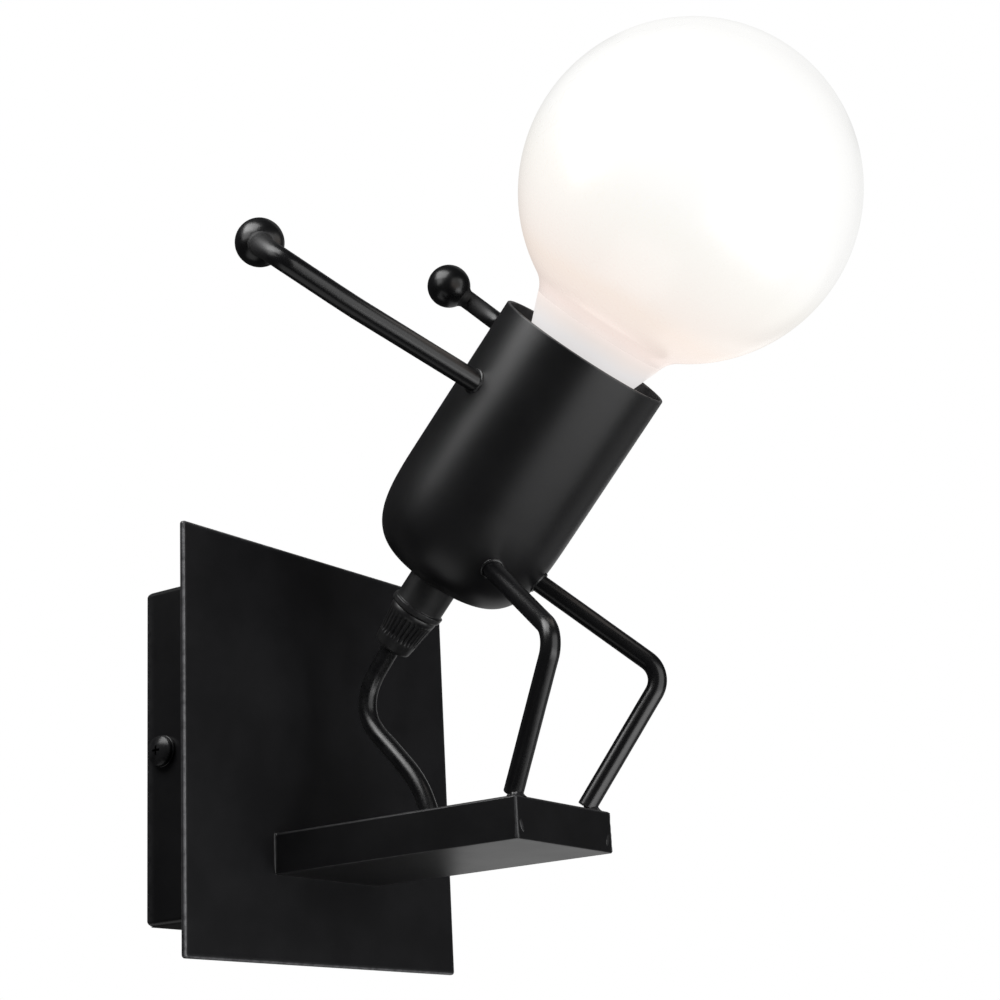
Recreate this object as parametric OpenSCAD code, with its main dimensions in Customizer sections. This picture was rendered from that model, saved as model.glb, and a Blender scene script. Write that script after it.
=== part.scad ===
// Wall sconce: a bent-rod figure sits on a short ledge in front of a square
// wall plate. Its body is a metal cup that leans forward and holds an E27 bulb.
// Frame: +Z up, wall at Y = 0, front towards -Y, origin at the middle of the
// wall bracket, which is also the middle of the wall plate.

/* [Wall plate] */
// Side of the square wall plate
plate_w = 120; // [114:1:130]
// Thickness of the wall plate
plate_t = 1.5; // [1.2:0.1:2]
// Corner radius of the wall plate
plate_r = 1; // [0.5:0.1:3]

/* [Back box] */
// Side of the square back box
box_w = 95; // [95:0.5:97]
// Depth of the back box from the wall to the plate
box_d = 24.5; // [24:0.5:27]
// Sheet thickness of the back box
box_t = 1; // [0.8:0.1:1]
// How far the box centre sits below the plate centre
box_drop = 1.4; // [0:0.1:2]

/* [Ledge] */
// Width of the ledge
ledge_w = 46.5; // [45:0.5:50]
// Length of the ledge, out from the plate
ledge_l = 82; // [80:0.5:84]
// Thickness of the ledge
ledge_h = 11.5; // [11.5:0.1:13]
// Sheet thickness of the ledge
ledge_t = 1.2; // [1:0.1:1.2]
// Depth of the ledge top below the plate centre
ledge_drop = 24; // [24:0.5:24]

/* [Cup] */
// Outside diameter of the cup
cup_d = 52.2; // [52:0.1:53]
// Length of the cup along its axis
cup_l = 79; // [78:0.5:80]
// Height of the rounded bottom of the cup
cup_h = 34.8; // [33:0.1:36]
// Squareness of the rounded bottom: 2 is an ellipse, 5 is nearly square
cup_e = 3.9; // [3.6:0.1:4.2]
// Wall of the cup
cup_t = 1; // [0.8:0.1:1]
// Lean of the cup from vertical, towards the front
cup_lean = 44.7; // [44.5:0.1:45]

/* [Limbs] */
// Diameter of the leg rods
leg_d = 5.4; // [5:0.1:6]
// Diameter of the arm rods
arm_d = 6; // [5.5:0.1:6.2]
// Diameter of the hand balls
ball_d = 13.8; // [13:0.1:15]

/* [Bulb] */
// Diameter of the globe
globe_d = 95.6; // [95:0.1:96]
// Height of the globe centre above the cup bottom
globe_z = 131.7; // [131.5:0.1:132]
// Lead of the screw thread
cap_pitch = 3.629; // [3.629:0.001:3.629]

/* [Fixings] */
// Distance between the two wall slots
slot_gap = 60; // [50:1:64]
// Width of a wall slot
slot_w = 5; // [4:0.1:6]
// Length of a wall slot, end to end
slot_l = 9; // [7:0.5:10]
// Diameter of the side screws
screw_d = 4; // [4:0.1:4]

/* [Cord] */
// Outside diameter of the cord
cord_d = 5.4; // [5:0.1:5.4]

/* [Hidden] */
$fn = 64;
eps = 0.01;
cup_r = cup_d / 2;
cup_y = -68.5;
cup_z = 46;
plate_f = -(box_d + plate_t);
ledge_z1 = -ledge_drop;
ledge_z0 = ledge_z1 - ledge_h;
ledge_f = plate_f - ledge_l;
hole_y = -63.5;
hole_z = ledge_z0 + ledge_h / 2;
side_y = -6.5;
side_z = -1;
black = [0.045, 0.045, 0.05];
white = [0.95, 0.94, 0.92];
steel = [0.72, 0.72, 0.74];
brass = [0.78, 0.62, 0.30];

// Route of the cord from the gland to inside the ledge: [y, z] at x = 0
cord_pts = [[-47.9, 24.8], [-44.8, 21], [-42.7, 16.9], [-42, 12.6], [-42.9, 8.4], [-45.3, 4.6],
            [-49, 0.5], [-53.4, -4.4], [-57.5, -9.4], [-60.8, -15], [-63, -21.5], [-64.1, -29]];
// Arms in the cup's own frame, from root to hand, with the radius of each bend
arm_l_pts = [[-21.6, 5.4, 56.2], [-57.1, 32.6, 56.5], [-74.4, 46.8, 57.3], [-74, 56.1, 56.6], [-67, 64.8, 55.7]];
arm_l_r = [200, 7, 7];
arm_r_pts = [[18, 14, 58], [41.8, 65.8, 65.1], [40.6, 82.4, 65.1], [34.3, 85.9, 65.7]];
arm_r_r = [7, 7];
// Legs: hip, knee and the middle of the square-cut foot
leg_l_pts = [[-9.5, -93, 43.9], [-28.4, -126.3, 14.7], [-18.1, -103.8, -22.7]];
leg_r_pts = [[9.4, -93.7, 44.5], [28.3, -125.9, 13], [18.1, -103.5, -22.8]];
// Wires in the cup's own frame, +X side
wire_cup = [[1.2, 0, 14], [1.4, 0, 18], [4.5, 0, 23], [8, 0, 28], [8.5, 0, 33.8]];
// Wires from the end of the cord, through the ledge to the terminals, +X side
wire_base = [[1.2, -64.1, -29], [1.2, -63.4, -31.5], [1.3, -60, -32.5], [1.4, -52, -32],
             [1.5, -38, -30.5], [1.6, -26, -29.7], [2, -21, -28.8], [5, -18.5, -20],
             [8, -17.5, -10], [8.5, -17.3, -2], [8.5, -17.3, 4], [8.5, -17.3, 9.5]];
// Earth lead from the box to the middle terminal
wire_earth = [[-24.4, -21.6, -12], [-19, -18, -12.6], [-13, -14, -11], [-6, -13.6, -8], [-1.5, -15.6, -4],
              [0, -17.3, 0], [0, -17.3, 4], [0, -17.3, 9.5]];

// ---- helpers ------------------------------------------------------------

// Places children in the cup's own frame: Z along its axis, from its bottom
module in_cup() { translate([0, cup_y, cup_z]) rotate([cup_lean, 0, 0]) children(); }

function cup_pt(p) = [p[0],
    cup_y + p[1] * cos(cup_lean) - p[2] * sin(cup_lean),
    cup_z + p[1] * sin(cup_lean) + p[2] * cos(cup_lean)];
function unit(v) = v / norm(v);
function dirang(v) = [0, acos(v[2] / norm(v)), atan2(v[1], v[0])];

// One straight round bar from a to b
module bar(a, b, d) { translate(a) rotate(dirang(b - a)) cylinder(h = norm(b - a), d = d); }

// One round bend at v, from direction u to direction w, on a radius r
module bend(v, u, w, r, d) {
    ph = acos(u * w);
    c = v + unit(w - u) * r / cos(ph / 2);
    k = unit(cross(u, w));
    x = unit(v - u * r * tan(ph / 2) - c);
    y = cross(k, x);
    multmatrix([[x[0], y[0], k[0], c[0]], [x[1], y[1], k[1], c[1]], [x[2], y[2], k[2], c[2]], [0, 0, 0, 1]])
        rotate_extrude(angle = ph) translate([r, 0]) circle(d = d);
}

// A round rod along straight runs with a round bend of radius r[i] at each inner
// point; a ring a hair thicker than the rod closes the joint at each end of a bend
module rod(p, r, d) {
    n = len(p);
    u = [for (i = [0 : n - 2]) unit(p[i + 1] - p[i])];
    t = [for (i = [0 : n - 1]) (i == 0 || i == n - 1) ? 0 : r[i - 1] * tan(acos(u[i - 1] * u[i]) / 2)];
    for (i = [0 : n - 2]) bar(p[i] + u[i] * t[i], p[i + 1] - u[i] * t[i + 1], d);
    for (i = [1 : n - 2]) {
        bend(p[i], u[i - 1], u[i], r[i - 1], d);
        for (s = [-1, 1]) let (k = s < 0 ? u[i - 1] : u[i], c = p[i] + s * k * t[i])
            bar(c - k * 0.4, c + k * 0.4, d + 0.12);
    }
}

// Smooth points through p, m steps for each span
function cr(a, b, c, d, t) = 0.5 * ((2 * b) + (c - a) * t + (2 * a - 5 * b + 4 * c - d) * t * t
    + (3 * b - a - 3 * c + d) * t * t * t);
function smooth_path(p, m) = [for (i = [0 : len(p) - 2]) for (j = [0 : m - 1])
    cr(p[max(i - 1, 0)], p[i], p[i + 1], p[min(i + 2, len(p) - 1)], j / m), p[len(p) - 1]];

// A round tube swept along points; side is a direction never along the route
module sweep(p, r, ns, side) {
    n = len(p);
    tg = [for (i = [0 : n - 1]) unit(p[min(i + 1, n - 1)] - p[max(i - 1, 0)])];
    pts = [for (i = [0 : n - 1]) let (b = unit(cross(tg[i], side)), a = cross(b, tg[i]))
        for (j = [0 : ns - 1]) p[i] + r * (a * cos(360 * j / ns) + b * sin(360 * j / ns))];
    fl = cross(cross(cross(tg[0], side), tg[0]), cross(tg[0], side)) * tg[0] > 0;
    sides = [for (i = [0 : n - 2]) for (j = [0 : ns - 1])
        let (a = i * ns + j, b = a + ns, c = (i + 1) * ns + (j + 1) % ns, d = i * ns + (j + 1) % ns)
        each fl ? [[a, b, c], [a, c, d]] : [[c, b, a], [d, c, a]]];
    cap0 = [for (j = [0 : ns - 1]) fl ? j : ns - 1 - j];
    cap1 = [for (j = [0 : ns - 1]) (n - 1) * ns + (fl ? ns - 1 - j : j)];
    polyhedron(points = pts, faces = concat(sides, [cap0, cap1]), convexity = 6);
}

// A solid rod with a rounded right-hand thread of mean radius rm and depth 2 am
module thread_rod(rm, am, z0, z1) {
    ns = 24;
    nr = round((z1 - z0) / cap_pitch * 6);
    pts = [for (i = [0 : nr]) let (z = z0 + (z1 - z0) * i / nr) for (j = [0 : ns - 1])
        let (th = 360 * j / ns, r = rm + am * cos(360 * z / cap_pitch - th)) [r * cos(th), r * sin(th), z]];
    sides = [for (i = [0 : nr - 1]) for (j = [0 : ns - 1])
        let (a = i * ns + j, b = a + ns, c = (i + 1) * ns + (j + 1) % ns, d = i * ns + (j + 1) % ns)
        each [[a, b, c], [a, c, d]]];
    polyhedron(points = pts, faces = concat(sides, [[for (j = [0 : ns - 1]) j],
        [for (j = [0 : ns - 1]) nr * ns + ns - 1 - j]]), convexity = 6);
}

module ring(r1, r0, z0, z1) {
    translate([0, 0, z0]) difference() {
        cylinder(r = r1, h = z1 - z0);
        translate([0, 0, -1]) cylinder(r = r0, h = z1 - z0 + 2);
    }
}

// Outline of the cup's bottom and side, from radius r and height h above z
function cup_side(r, h, z) = [for (t = [87 : -3 : 0]) let (x = r * pow(cos(t), 2 / cup_e), y = h - h * pow(sin(t), 2 / cup_e))
    if (x > 11) [x, z + y]];

module cup_solid() {
    rotate_extrude() polygon(concat([[0, 0], [9.5, 0]], cup_side(cup_r, cup_h, 0), [[cup_r, cup_l], [0, cup_l]]));
}

// A flat plate standing in front of the wall: w wide, h high, from y0 to y1
module upright(w, h, y0, y1, r) {
    translate([0, y1, 0]) rotate([90, 0, 0]) linear_extrude(height = y1 - y0) union() {
        square([w - 2 * r, h], center = true);
        square([w, h - 2 * r], center = true);
        for (i = [-1, 1]) for (j = [-1, 1]) translate([i * (w / 2 - r), j * (h / 2 - r)]) circle(r = r);
    }
}

// ---- wall side ----------------------------------------------------------

// Bent steel strip that is screwed to the wall
module wall_bracket() {
    color(steel) difference() {
        union() {
            translate([-46.1, -1.5, -11]) cube([92.2, 1.5, 22]);
            for (s = [-1, 1]) translate([s * 45.35 - 0.75, -13, side_z - 8]) cube([1.5, 12, 16]);
        }
        for (s = [-1, 1]) translate([s * slot_gap / 2, 1, 0]) rotate([90, 0, 0]) {
            for (e = [-1, 1]) translate([e * (slot_l - slot_w) / 2, 0, 0]) cylinder(d = slot_w, h = 4);
            translate([-(slot_l - slot_w) / 2, -slot_w / 2, 0]) cube([slot_l - slot_w, slot_w, 4]);
        }
        translate([0, 1, 0]) rotate([90, 0, 0]) cylinder(d = 10, h = 4);
        translate([-50, side_y, side_z]) rotate([0, 90, 0]) cylinder(r = screw_d / 2 + 0.08, h = 100);
    }
}

// Folded steel pan behind the plate, open to the wall
module back_box() {
    color(black) difference() {
        translate([0, 0, -box_drop]) upright(box_w, box_w, -box_d, 0, 1.5);
        translate([0, 0, -box_drop]) upright(box_w - 2 * box_t, box_w - 2 * box_t, -box_d + box_t, 1, 0.6);
        translate([-60, side_y, side_z]) rotate([0, 90, 0]) cylinder(r = screw_d / 2 + 0.35, h = 120);
        translate([0, -box_d + 3, hole_z]) rotate([90, 0, 0]) cylinder(r = 4.6, h = 6);
        translate([-28, -box_d + 3, -12]) rotate([90, 0, 0]) cylinder(r = 1.65, h = 6);
        translate([16.8, -box_d + 3, 12]) rotate([90, 0, 0]) cylinder(r = 1.3, h = 6);
        // rounded corners of the two side walls, at the wall
        for (s = [-1, 1]) for (k = [-1, 1]) translate([s * (box_w / 2 - 0.5), 0, k * (box_w / 2) - box_drop])
            difference() {
                cube([1.2, 3, 3], center = true);
                translate([-1, -1.5, -k * 1.5]) rotate([0, 90, 0]) cylinder(r = 1.5, h = 2);
            }
    }
}

// Square face plate
module wall_plate() {
    color(black) difference() {
        upright(plate_w, plate_w, plate_f, -box_d, plate_r);
        translate([0, plate_f - 2, hole_z]) rotate([-90, 0, 0]) cylinder(r = 4.6, h = 6);
        translate([-28, plate_f + 0.6, -12]) rotate([-90, 0, 0]) cylinder(r = 1.65, h = 6);
        translate([16.8, plate_f + 0.6, 12]) rotate([-90, 0, 0]) cylinder(r = 1.3, h = 6);
    }
}

// Domed cross-head screw along +Z, its head's underside at z = 0
module pan_screw(d, hr, hh, l) {
    difference() {
        union() {
            intersection() {
                cylinder(r = hr, h = hh);
                translate([0, 0, hh - 7.2]) sphere(r = 7.2);
            }
            translate([0, 0, -l]) cylinder(d = d, h = l + eps);
        }
        for (a = [0, 90]) rotate([0, 0, a]) translate([-hr * 0.55, -0.5, hh - 1.6]) cube([hr * 1.1, 1, 3]);
        translate([0, 0, hh - 1.6]) cylinder(r = 1.1, h = 3);
    }
}

module side_screw(s) {
    translate([s * (box_w / 2 + 0.95), side_y, side_z]) rotate([0, s * 90, 0]) pan_screw(screw_d, 4.2, 2.4, 11);
}
module side_screw_left() { color(black) side_screw(-1); }
module side_screw_right() { color(black) side_screw(1); }

module side_washer(s) {
    translate([s * (box_w / 2 + 0.1), side_y, side_z]) rotate([0, s * 90, 0]) ring(4.5, screw_d / 2 + 0.06, 0, 0.8);
}
module side_washer_left() { color(black) side_washer(-1); }
module side_washer_right() { color(black) side_washer(1); }

// Three-way terminal block on the floor of the box
module terminal_block() {
    y0 = -box_d + box_t;
    color(white) difference() {
        union() {
            translate([-13.5, y0, 4]) cube([27, 4, 16]);
            translate([13.4, y0, 8]) cube([6.6, 4, 8]);
            for (i = [-1 : 1]) translate([i * 8.5 - 3.8, y0 + 3.9, 4]) cube([7.6, 5.1, 16]);
            for (i = [-1 : 1]) for (k = [-1, 1]) translate([i * 8.5, y0 + 8.9, 12 + k * 4.5]) rotate([-90, 0, 0]) cylinder(r = 2.9, h = 3.1);
        }
        for (i = [-1 : 1]) translate([i * 8.5, -17.3, 3]) cylinder(r = 1.6, h = 20);
        for (i = [-1 : 1]) for (k = [-1, 1]) translate([i * 8.5, -17.2, 12 + k * 4.5]) rotate([-90, 0, 0]) cylinder(r = 1.9, h = 10);
        translate([16.8, y0 - 1, 12]) rotate([-90, 0, 0]) cylinder(r = 1.4, h = 20);
    }
}

module terminal_screws() {
    color(brass) for (i = [-1 : 1]) for (k = [-1, 1]) translate([i * 8.5, -15.6, 12 + k * 4.5]) rotate([-90, 0, 0])
        difference() {
            cylinder(r = 1.8, h = 3.2);
            translate([-3, -0.3, 2.2]) cube([6, 0.6, 2]);
        }
}

// Screw that holds the terminal block to the box
module block_screw() {
    color(steel) translate([16.8, -box_d + box_t + 4, 12]) rotate([-90, 0, 0]) difference() {
        union() {
            translate([0, 0, -5.2]) cylinder(r = 1.25, h = 5.3);
            cylinder(r = 2.3, h = 1.4);
        }
        translate([-3, -0.3, 0.7]) cube([6, 0.6, 2]);
    }
}

// Earth screw, ring lug and lead on the floor of the box
module earth_screw() {
    y0 = -box_d + box_t;
    color(brass) translate([-28, y0 + 1, -12]) rotate([-90, 0, 0]) difference() {
        union() {
            translate([0, 0, -1.9]) cylinder(r = 1.6, h = 2);
            cylinder(r = 3, h = 2.2);
        }
        translate([-4, -0.4, 1.2]) cube([8, 0.8, 2]);
    }
}
module earth_lug() {
    y0 = -box_d + box_t;
    color(steel) difference() {
        union() {
            translate([-28, y0, -12]) rotate([-90, 0, 0]) cylinder(r = 3.6, h = 0.8);
            translate([-26, y0, -13.4]) cube([4.6, 0.8, 2.8]);
        }
        translate([-28, y0 - 1, -12]) rotate([-90, 0, 0]) cylinder(r = 1.75, h = 4);
    }
}
module earth_lead() {
    color([0.35, 0.6, 0.2]) sweep(smooth_path(wire_earth, 4), 1, 8, [0, 0.3, 1]);
}

// Insulating bush where the wires pass from the ledge into the box
module plate_bush() {
    color(black) translate([0, 0, hole_z]) rotate([90, 0, 0]) {
        ring(4.5, 3.4, box_d - box_t, box_d + plate_t + 1);
        ring(6, 3.4, box_d - box_t - 1, box_d - box_t);
    }
}

// ---- ledge --------------------------------------------------------------

// Folded ledge: top, sides and front
module ledge_shell() {
    color(black) difference() {
        translate([-ledge_w / 2, ledge_f, ledge_z0]) cube([ledge_w, ledge_l, ledge_h]);
        translate([-ledge_w / 2 + ledge_t, ledge_f + ledge_t, ledge_z0 - 1]) cube([ledge_w - 2 * ledge_t, ledge_l, ledge_h - ledge_t + 1]);
        translate([0, hole_y, ledge_z1 - 5]) cylinder(r = 4, h = 10);
    }
}

// Flush bottom sheet of the ledge
module ledge_bottom() {
    color(black) translate([-ledge_w / 2 + ledge_t, ledge_f + ledge_t, ledge_z0]) cube([ledge_w - 2 * ledge_t, ledge_l - ledge_t, ledge_t]);
}

// Rubber grommet where the cord goes into the ledge
module ledge_grommet() {
    color(black) translate([0, hole_y, ledge_z1]) {
        ring(3.9, 3.3, -ledge_t, 0);
        ring(5.2, 3.3, 0, 0.7);
        ring(5, 3.3, -ledge_t - 0.9, -ledge_t);
    }
}

// ---- figure -------------------------------------------------------------

// Rod leg, cut flush with the cup; its square-cut foot stands on its front edge
// on the ledge, in a low weld
module leg(p) {
    difference() {
        union() {
            rod(p, [7], leg_d);
            translate([p[2][0] + (p[2][0] > 0 ? 0.5 : -0.5), p[2][1] - 1.1, ledge_z1]) cylinder(r1 = 3, r2 = 2, h = 1.3);
        }
        in_cup() cup_solid();
        translate([-40, -140, ledge_z1 - 20]) cube([80, 80, 20]);
    }
}
module leg_left() { color(black) leg(leg_l_pts); }
module leg_right() { color(black) leg(leg_r_pts); }

// Spun cup with a rounded bottom and a hole for the threaded tube
module cup() {
    color(black) in_cup() difference() {
        cup_solid();
        rotate_extrude() polygon(concat([[0, cup_t], [9.5, cup_t]],
            cup_side(cup_r - cup_t, cup_h - cup_t, cup_t), [[cup_r - cup_t, cup_l + 1], [0, cup_l + 1]]));
        translate([0, 0, -1]) cylinder(r = 5.1, h = 4);
    }
}

module arm(p, r) {
    difference() {
        rod([for (q = p) cup_pt(q)], r, arm_d);
        in_cup() cup_solid();
        translate(cup_pt(p[len(p) - 1])) sphere(d = ball_d);
    }
}
module arm_left() { color(black) arm(arm_l_pts, arm_l_r); }
module arm_right() { color(black) arm(arm_r_pts, arm_r_r); }
module hand_ball_left() { color(black) translate(cup_pt(arm_l_pts[4])) sphere(d = ball_d); }
module hand_ball_right() { color(black) translate(cup_pt(arm_r_pts[3])) sphere(d = ball_d); }

// ---- cord entry below the cup -------------------------------------------

// Threaded tube through the cup's bottom
module nipple() { color(steel) in_cup() ring(5, 3.75, -8, 15); }
module nipple_washer() { color(steel) in_cup() ring(8, 5.15, cup_t, cup_t + 1); }
module nipple_nut() {
    color(steel) in_cup() translate([0, 0, cup_t + 1]) difference() {
        cylinder(d = 16.2, h = 4, $fn = 6);
        translate([0, 0, -1]) cylinder(r = 5.05, h = 6);
    }
}

// Cord gland: collar and threaded neck, rubber insert and ribbed nut
module gland_body() {
    color(black) in_cup() difference() {
        union() {
            translate([0, 0, -9]) cylinder(r = 7.3, h = 9);
            translate([0, 0, -11]) cylinder(r = 7.9, h = 2);
            translate([0, 0, -18]) cylinder(r = 5.2, h = 7.1);
        }
        translate([0, 0, -8]) cylinder(r = 5.05, h = 9);
        translate([0, 0, -19]) cylinder(r = 4.2, h = 12);
    }
}
module gland_insert() {
    color([0.1, 0.1, 0.1]) in_cup() difference() {
        union() {
            translate([0, 0, -18]) cylinder(r = 4.1, h = 9.5);
            translate([0, 0, -21.4]) cylinder(r1 = 3.2, r2 = 4.1, h = 3.4);
        }
        translate([0, 0, -22]) cylinder(r = cord_d / 2 + 0.05, h = 20);
    }
}
module gland_nut() {
    color(black) in_cup() difference() {
        rotate_extrude() polygon([[5.3, -11.1], [7.1, -11.1], [7.2, -12], [7.1, -12.7], [5.6, -23.4], [5.2, -24],
            [2.9, -24], [2.9, -23], [4.3, -18.6], [5.3, -18.6]]);
        for (i = [0 : 29]) rotate([0, 0, i * 12]) translate([6.1, 0, -16.8]) rotate([0, 8, 0])
            translate([0, -0.3, -3.6]) cube([2, 0.6, 7.2]);
    }
}

// ---- cord and wires -----------------------------------------------------

// Round cord from the threaded tube, through the gland, into the ledge
module cord() {
    top = [for (z = [14, 6, -2, -10, -18, -24.6]) cup_pt([0, 0, z])];
    color(black) sweep(concat([for (i = [0 : 4]) top[i]],
        smooth_path(concat([top[5]], [for (q = cord_pts) [0, q[0], q[1]]]), 4)), cord_d / 2, 10, [1, 0, 0]);
}
module wire_pair(s) {
    mirror([s < 0 ? 1 : 0, 0, 0]) {
        sweep(smooth_path([for (q = wire_cup) cup_pt(q)], 4), 1, 8, [0, 1, 0.6]);
        sweep(smooth_path(wire_base, 4), 1, 8, [1, 0.02, 0.01]);
    }
}
module wire_live() { color([0.4, 0.22, 0.1]) wire_pair(1); }
module wire_neutral() { color([0.15, 0.3, 0.7]) wire_pair(-1); }

// ---- lamp holder --------------------------------------------------------

// Lower cup of the lamp holder, screwed on the threaded tube
module holder_cap() {
    color([0.08, 0.08, 0.08]) in_cup() rotate_extrude() polygon([[5.05, 7], [9, 7], [9, 11], [16.5, 14], [18.8, 20], [18.8, 36],
        [17, 36], [17, 20.6], [15.4, 16], [9, 14], [5.05, 14]]);
}

// Upper half of the lamp holder, with its floor and screw-shell bore
module holder_body() {
    color([0.08, 0.08, 0.08]) in_cup() difference() {
        union() {
            translate([0, 0, 36]) cylinder(r = 18.8, h = 6);
            translate([0, 0, 42]) cylinder(r1 = 18.8, r2 = 17.6, h = 24.4);
        }
        translate([0, 0, 44]) cylinder(r = 14.5, h = 30);
        translate([0, 0, 40.2]) cylinder(r = 12.4, h = 8);
        for (s = [-1, 1]) translate([s * 8.5, 0, 30]) cylinder(r = 1.7, h = 12);
    }
}

// Threaded metal shell that takes the bulb
module socket_shell() {
    color(brass) in_cup() difference() {
        translate([0, 0, 44]) cylinder(r = 14.4, h = 20.6);
        thread_rod(12.98, 0.52, 42.6, 67.2);
    }
}

// Springy centre contact on the holder's floor
module contact_leaf() {
    color(brass) in_cup() {
        translate([-10, -2.5, 40.2]) cube([8, 5, 0.4]);
        translate([-2.2, -2.5, 40.2]) cube([0.4, 5, 1]);
        translate([-2.2, -2.5, 40.8]) cube([5, 5, 0.4]);
    }
}

// Terminal screws of the lamp holder
module holder_screws() {
    color(brass) in_cup() for (s = [-1, 1]) translate([s * 8.5, 0, 34]) difference() {
        cylinder(r = 1.6, h = 5.9);
        translate([-3, -0.3, 5.2]) cube([6, 0.6, 2]);
    }
}

// ---- bulb ---------------------------------------------------------------

module bulb_contact() { color(steel) in_cup() translate([0, 0, 41.5]) { cylinder(r1 = 4, r2 = 4.8, h = 0.8); translate([0, 0, 0.8]) cylinder(r = 4.8, h = 0.4); } }

module bulb_insulator() {
    color([0.06, 0.06, 0.08]) in_cup() rotate_extrude() polygon([[0, 43], [5.6, 43], [11.3, 46.5], [11.3, 48], [0, 48]]);
}

// Threaded cap of the bulb
module bulb_cap() {
    color(steel) in_cup() difference() {
        union() {
            thread_rod(12.58, 0.52, 46.5, 65.2);
            translate([0, 0, 65.1]) cylinder(r = 13.3, h = 2.4);
        }
        translate([0, 0, 40]) cylinder(r = 11.4, h = 40);
    }
}

// White plastic housing between the cap and the globe
module bulb_base() {
    color(white) in_cup() rotate_extrude() polygon([[11.9, 67.5], [13.5, 67.5], [20.5, 86], [18.4, 86], [12.7, 69.5], [12.7, 69], [11.9, 69]]);
}

// Opal globe, drawn in to a short neck
module globe_solid(d, neck) {
    difference() {
        union() {
            translate([0, 0, globe_z]) sphere(d = d);
            rotate_extrude() polygon(concat([[0, 86]], neck, [[0, 91.2]]));
        }
        translate([0, 0, 70]) cylinder(r = 60, h = 16);
    }
}
module bulb_globe() {
    color([1, 0.97, 0.92]) in_cup() difference() {
        globe_solid(globe_d, [[20.5, 86], [20.9, 87], [21.5, 88], [22.3, 89], [23.5, 90], [25.1, 91.2]]);
        translate([0, 0, -0.01]) globe_solid(globe_d - 2.4, [[19.2, 86], [19.6, 87], [20.1, 88], [20.7, 89], [21.6, 90], [22.9, 91.2]]);
    }
}

// Round light board with its chips, driver board and capacitor
module led_board() { color([0.9, 0.9, 0.9]) in_cup() ring(18.9, 2, 86.2, 87.8); }
module led_chips() {
    color([1, 0.85, 0.35]) in_cup() {
        for (i = [0 : 11]) rotate([0, 0, i * 30]) translate([13.5, -1.4, 87.8]) cube([2.8, 2.8, 0.8]);
        for (i = [0 : 5]) rotate([0, 0, i * 60 + 15]) translate([6, -1.4, 87.8]) cube([2.8, 2.8, 0.8]);
    }
}
module driver_board() { color([0.2, 0.45, 0.25]) in_cup() translate([-9, -0.6, 52]) cube([18, 1.2, 34.2]); }
module driver_capacitor() { color([0.1, 0.1, 0.12]) in_cup() translate([2, 4.7, 60]) cylinder(r = 4, h = 12); }

// ---- drawing ------------------------------------------------------------

wall_bracket();
back_box();
wall_plate();
side_screw_left();
side_screw_right();
side_washer_left();
side_washer_right();
terminal_block();
terminal_screws();
block_screw();
earth_screw();
earth_lug();
earth_lead();
plate_bush();
ledge_shell();
ledge_bottom();
ledge_grommet();
leg_left();
leg_right();
cup();
arm_left();
arm_right();
hand_ball_left();
hand_ball_right();
nipple();
nipple_washer();
nipple_nut();
gland_body();
gland_insert();
gland_nut();
cord();
wire_live();
wire_neutral();
holder_cap();
holder_body();
socket_shell();
contact_leaf();
holder_screws();
bulb_contact();
bulb_insulator();
bulb_cap();
bulb_base();
bulb_globe();
led_board();
led_chips();
driver_board();
driver_capacitor();
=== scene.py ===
import math

import bmesh
import bpy
from mathutils import Matrix, Vector, noise

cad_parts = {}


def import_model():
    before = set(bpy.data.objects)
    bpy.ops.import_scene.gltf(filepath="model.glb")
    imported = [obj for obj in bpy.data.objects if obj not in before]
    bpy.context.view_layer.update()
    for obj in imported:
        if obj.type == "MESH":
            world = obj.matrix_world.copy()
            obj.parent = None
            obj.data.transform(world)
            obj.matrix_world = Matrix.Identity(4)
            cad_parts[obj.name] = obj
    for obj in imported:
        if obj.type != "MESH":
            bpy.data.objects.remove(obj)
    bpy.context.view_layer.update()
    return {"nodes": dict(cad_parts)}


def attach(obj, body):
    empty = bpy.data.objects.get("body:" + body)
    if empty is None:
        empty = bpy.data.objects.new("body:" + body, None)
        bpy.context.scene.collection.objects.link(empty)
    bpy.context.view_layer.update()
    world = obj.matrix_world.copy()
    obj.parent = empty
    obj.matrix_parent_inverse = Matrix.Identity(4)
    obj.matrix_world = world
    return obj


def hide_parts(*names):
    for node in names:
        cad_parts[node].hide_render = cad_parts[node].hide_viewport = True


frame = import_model()
nodes = frame["nodes"]
scene = bpy.context.scene
scene.view_settings.view_transform = "Standard"
scene.view_settings.look = "None"

MM = 0.001
TAU = 2 * math.pi

# ---- the object's own sizes, in millimetres ---------------------------------

PLATE_W, PLATE_F, PLATE_B = 120.0, -26.0, -24.5
BOX_W, BOX_D, BOX_T, BOX_Z = 95.0, 24.5, 1.0, -1.4
LEDGE_W, LEDGE_F, LEDGE_T = 46.5, -108.0, 1.2
LEDGE_Z1, LEDGE_Z0 = -24.0, -35.5
HOLE_Y, HOLE_Z = -63.5, -29.75
SIDE_Y, SIDE_Z = -6.5, -1.0
CUP_R, CUP_L, CUP_H, CUP_E, CUP_T = 26.1, 79.0, 34.8, 3.9, 1.0
LEG_R, ARM_R, BALL_R, CORD_R = 2.7, 3.0, 6.9, 2.7
GLOBE_R, GLOBE_Z = 47.8, 131.7
PITCH = 3.629

LEAN = math.radians(44.7)
CUP_O = Vector((0, -68.5, 46))
CUP_Y = Vector((0, math.cos(LEAN), math.sin(LEAN)))
CUP_Z = Vector((0, -math.sin(LEAN), math.cos(LEAN)))


def cup(x, y, z):
    """A point given in the cup's own frame."""
    return CUP_O + Vector((x, 0, 0)) + CUP_Y * y + CUP_Z * z


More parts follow.
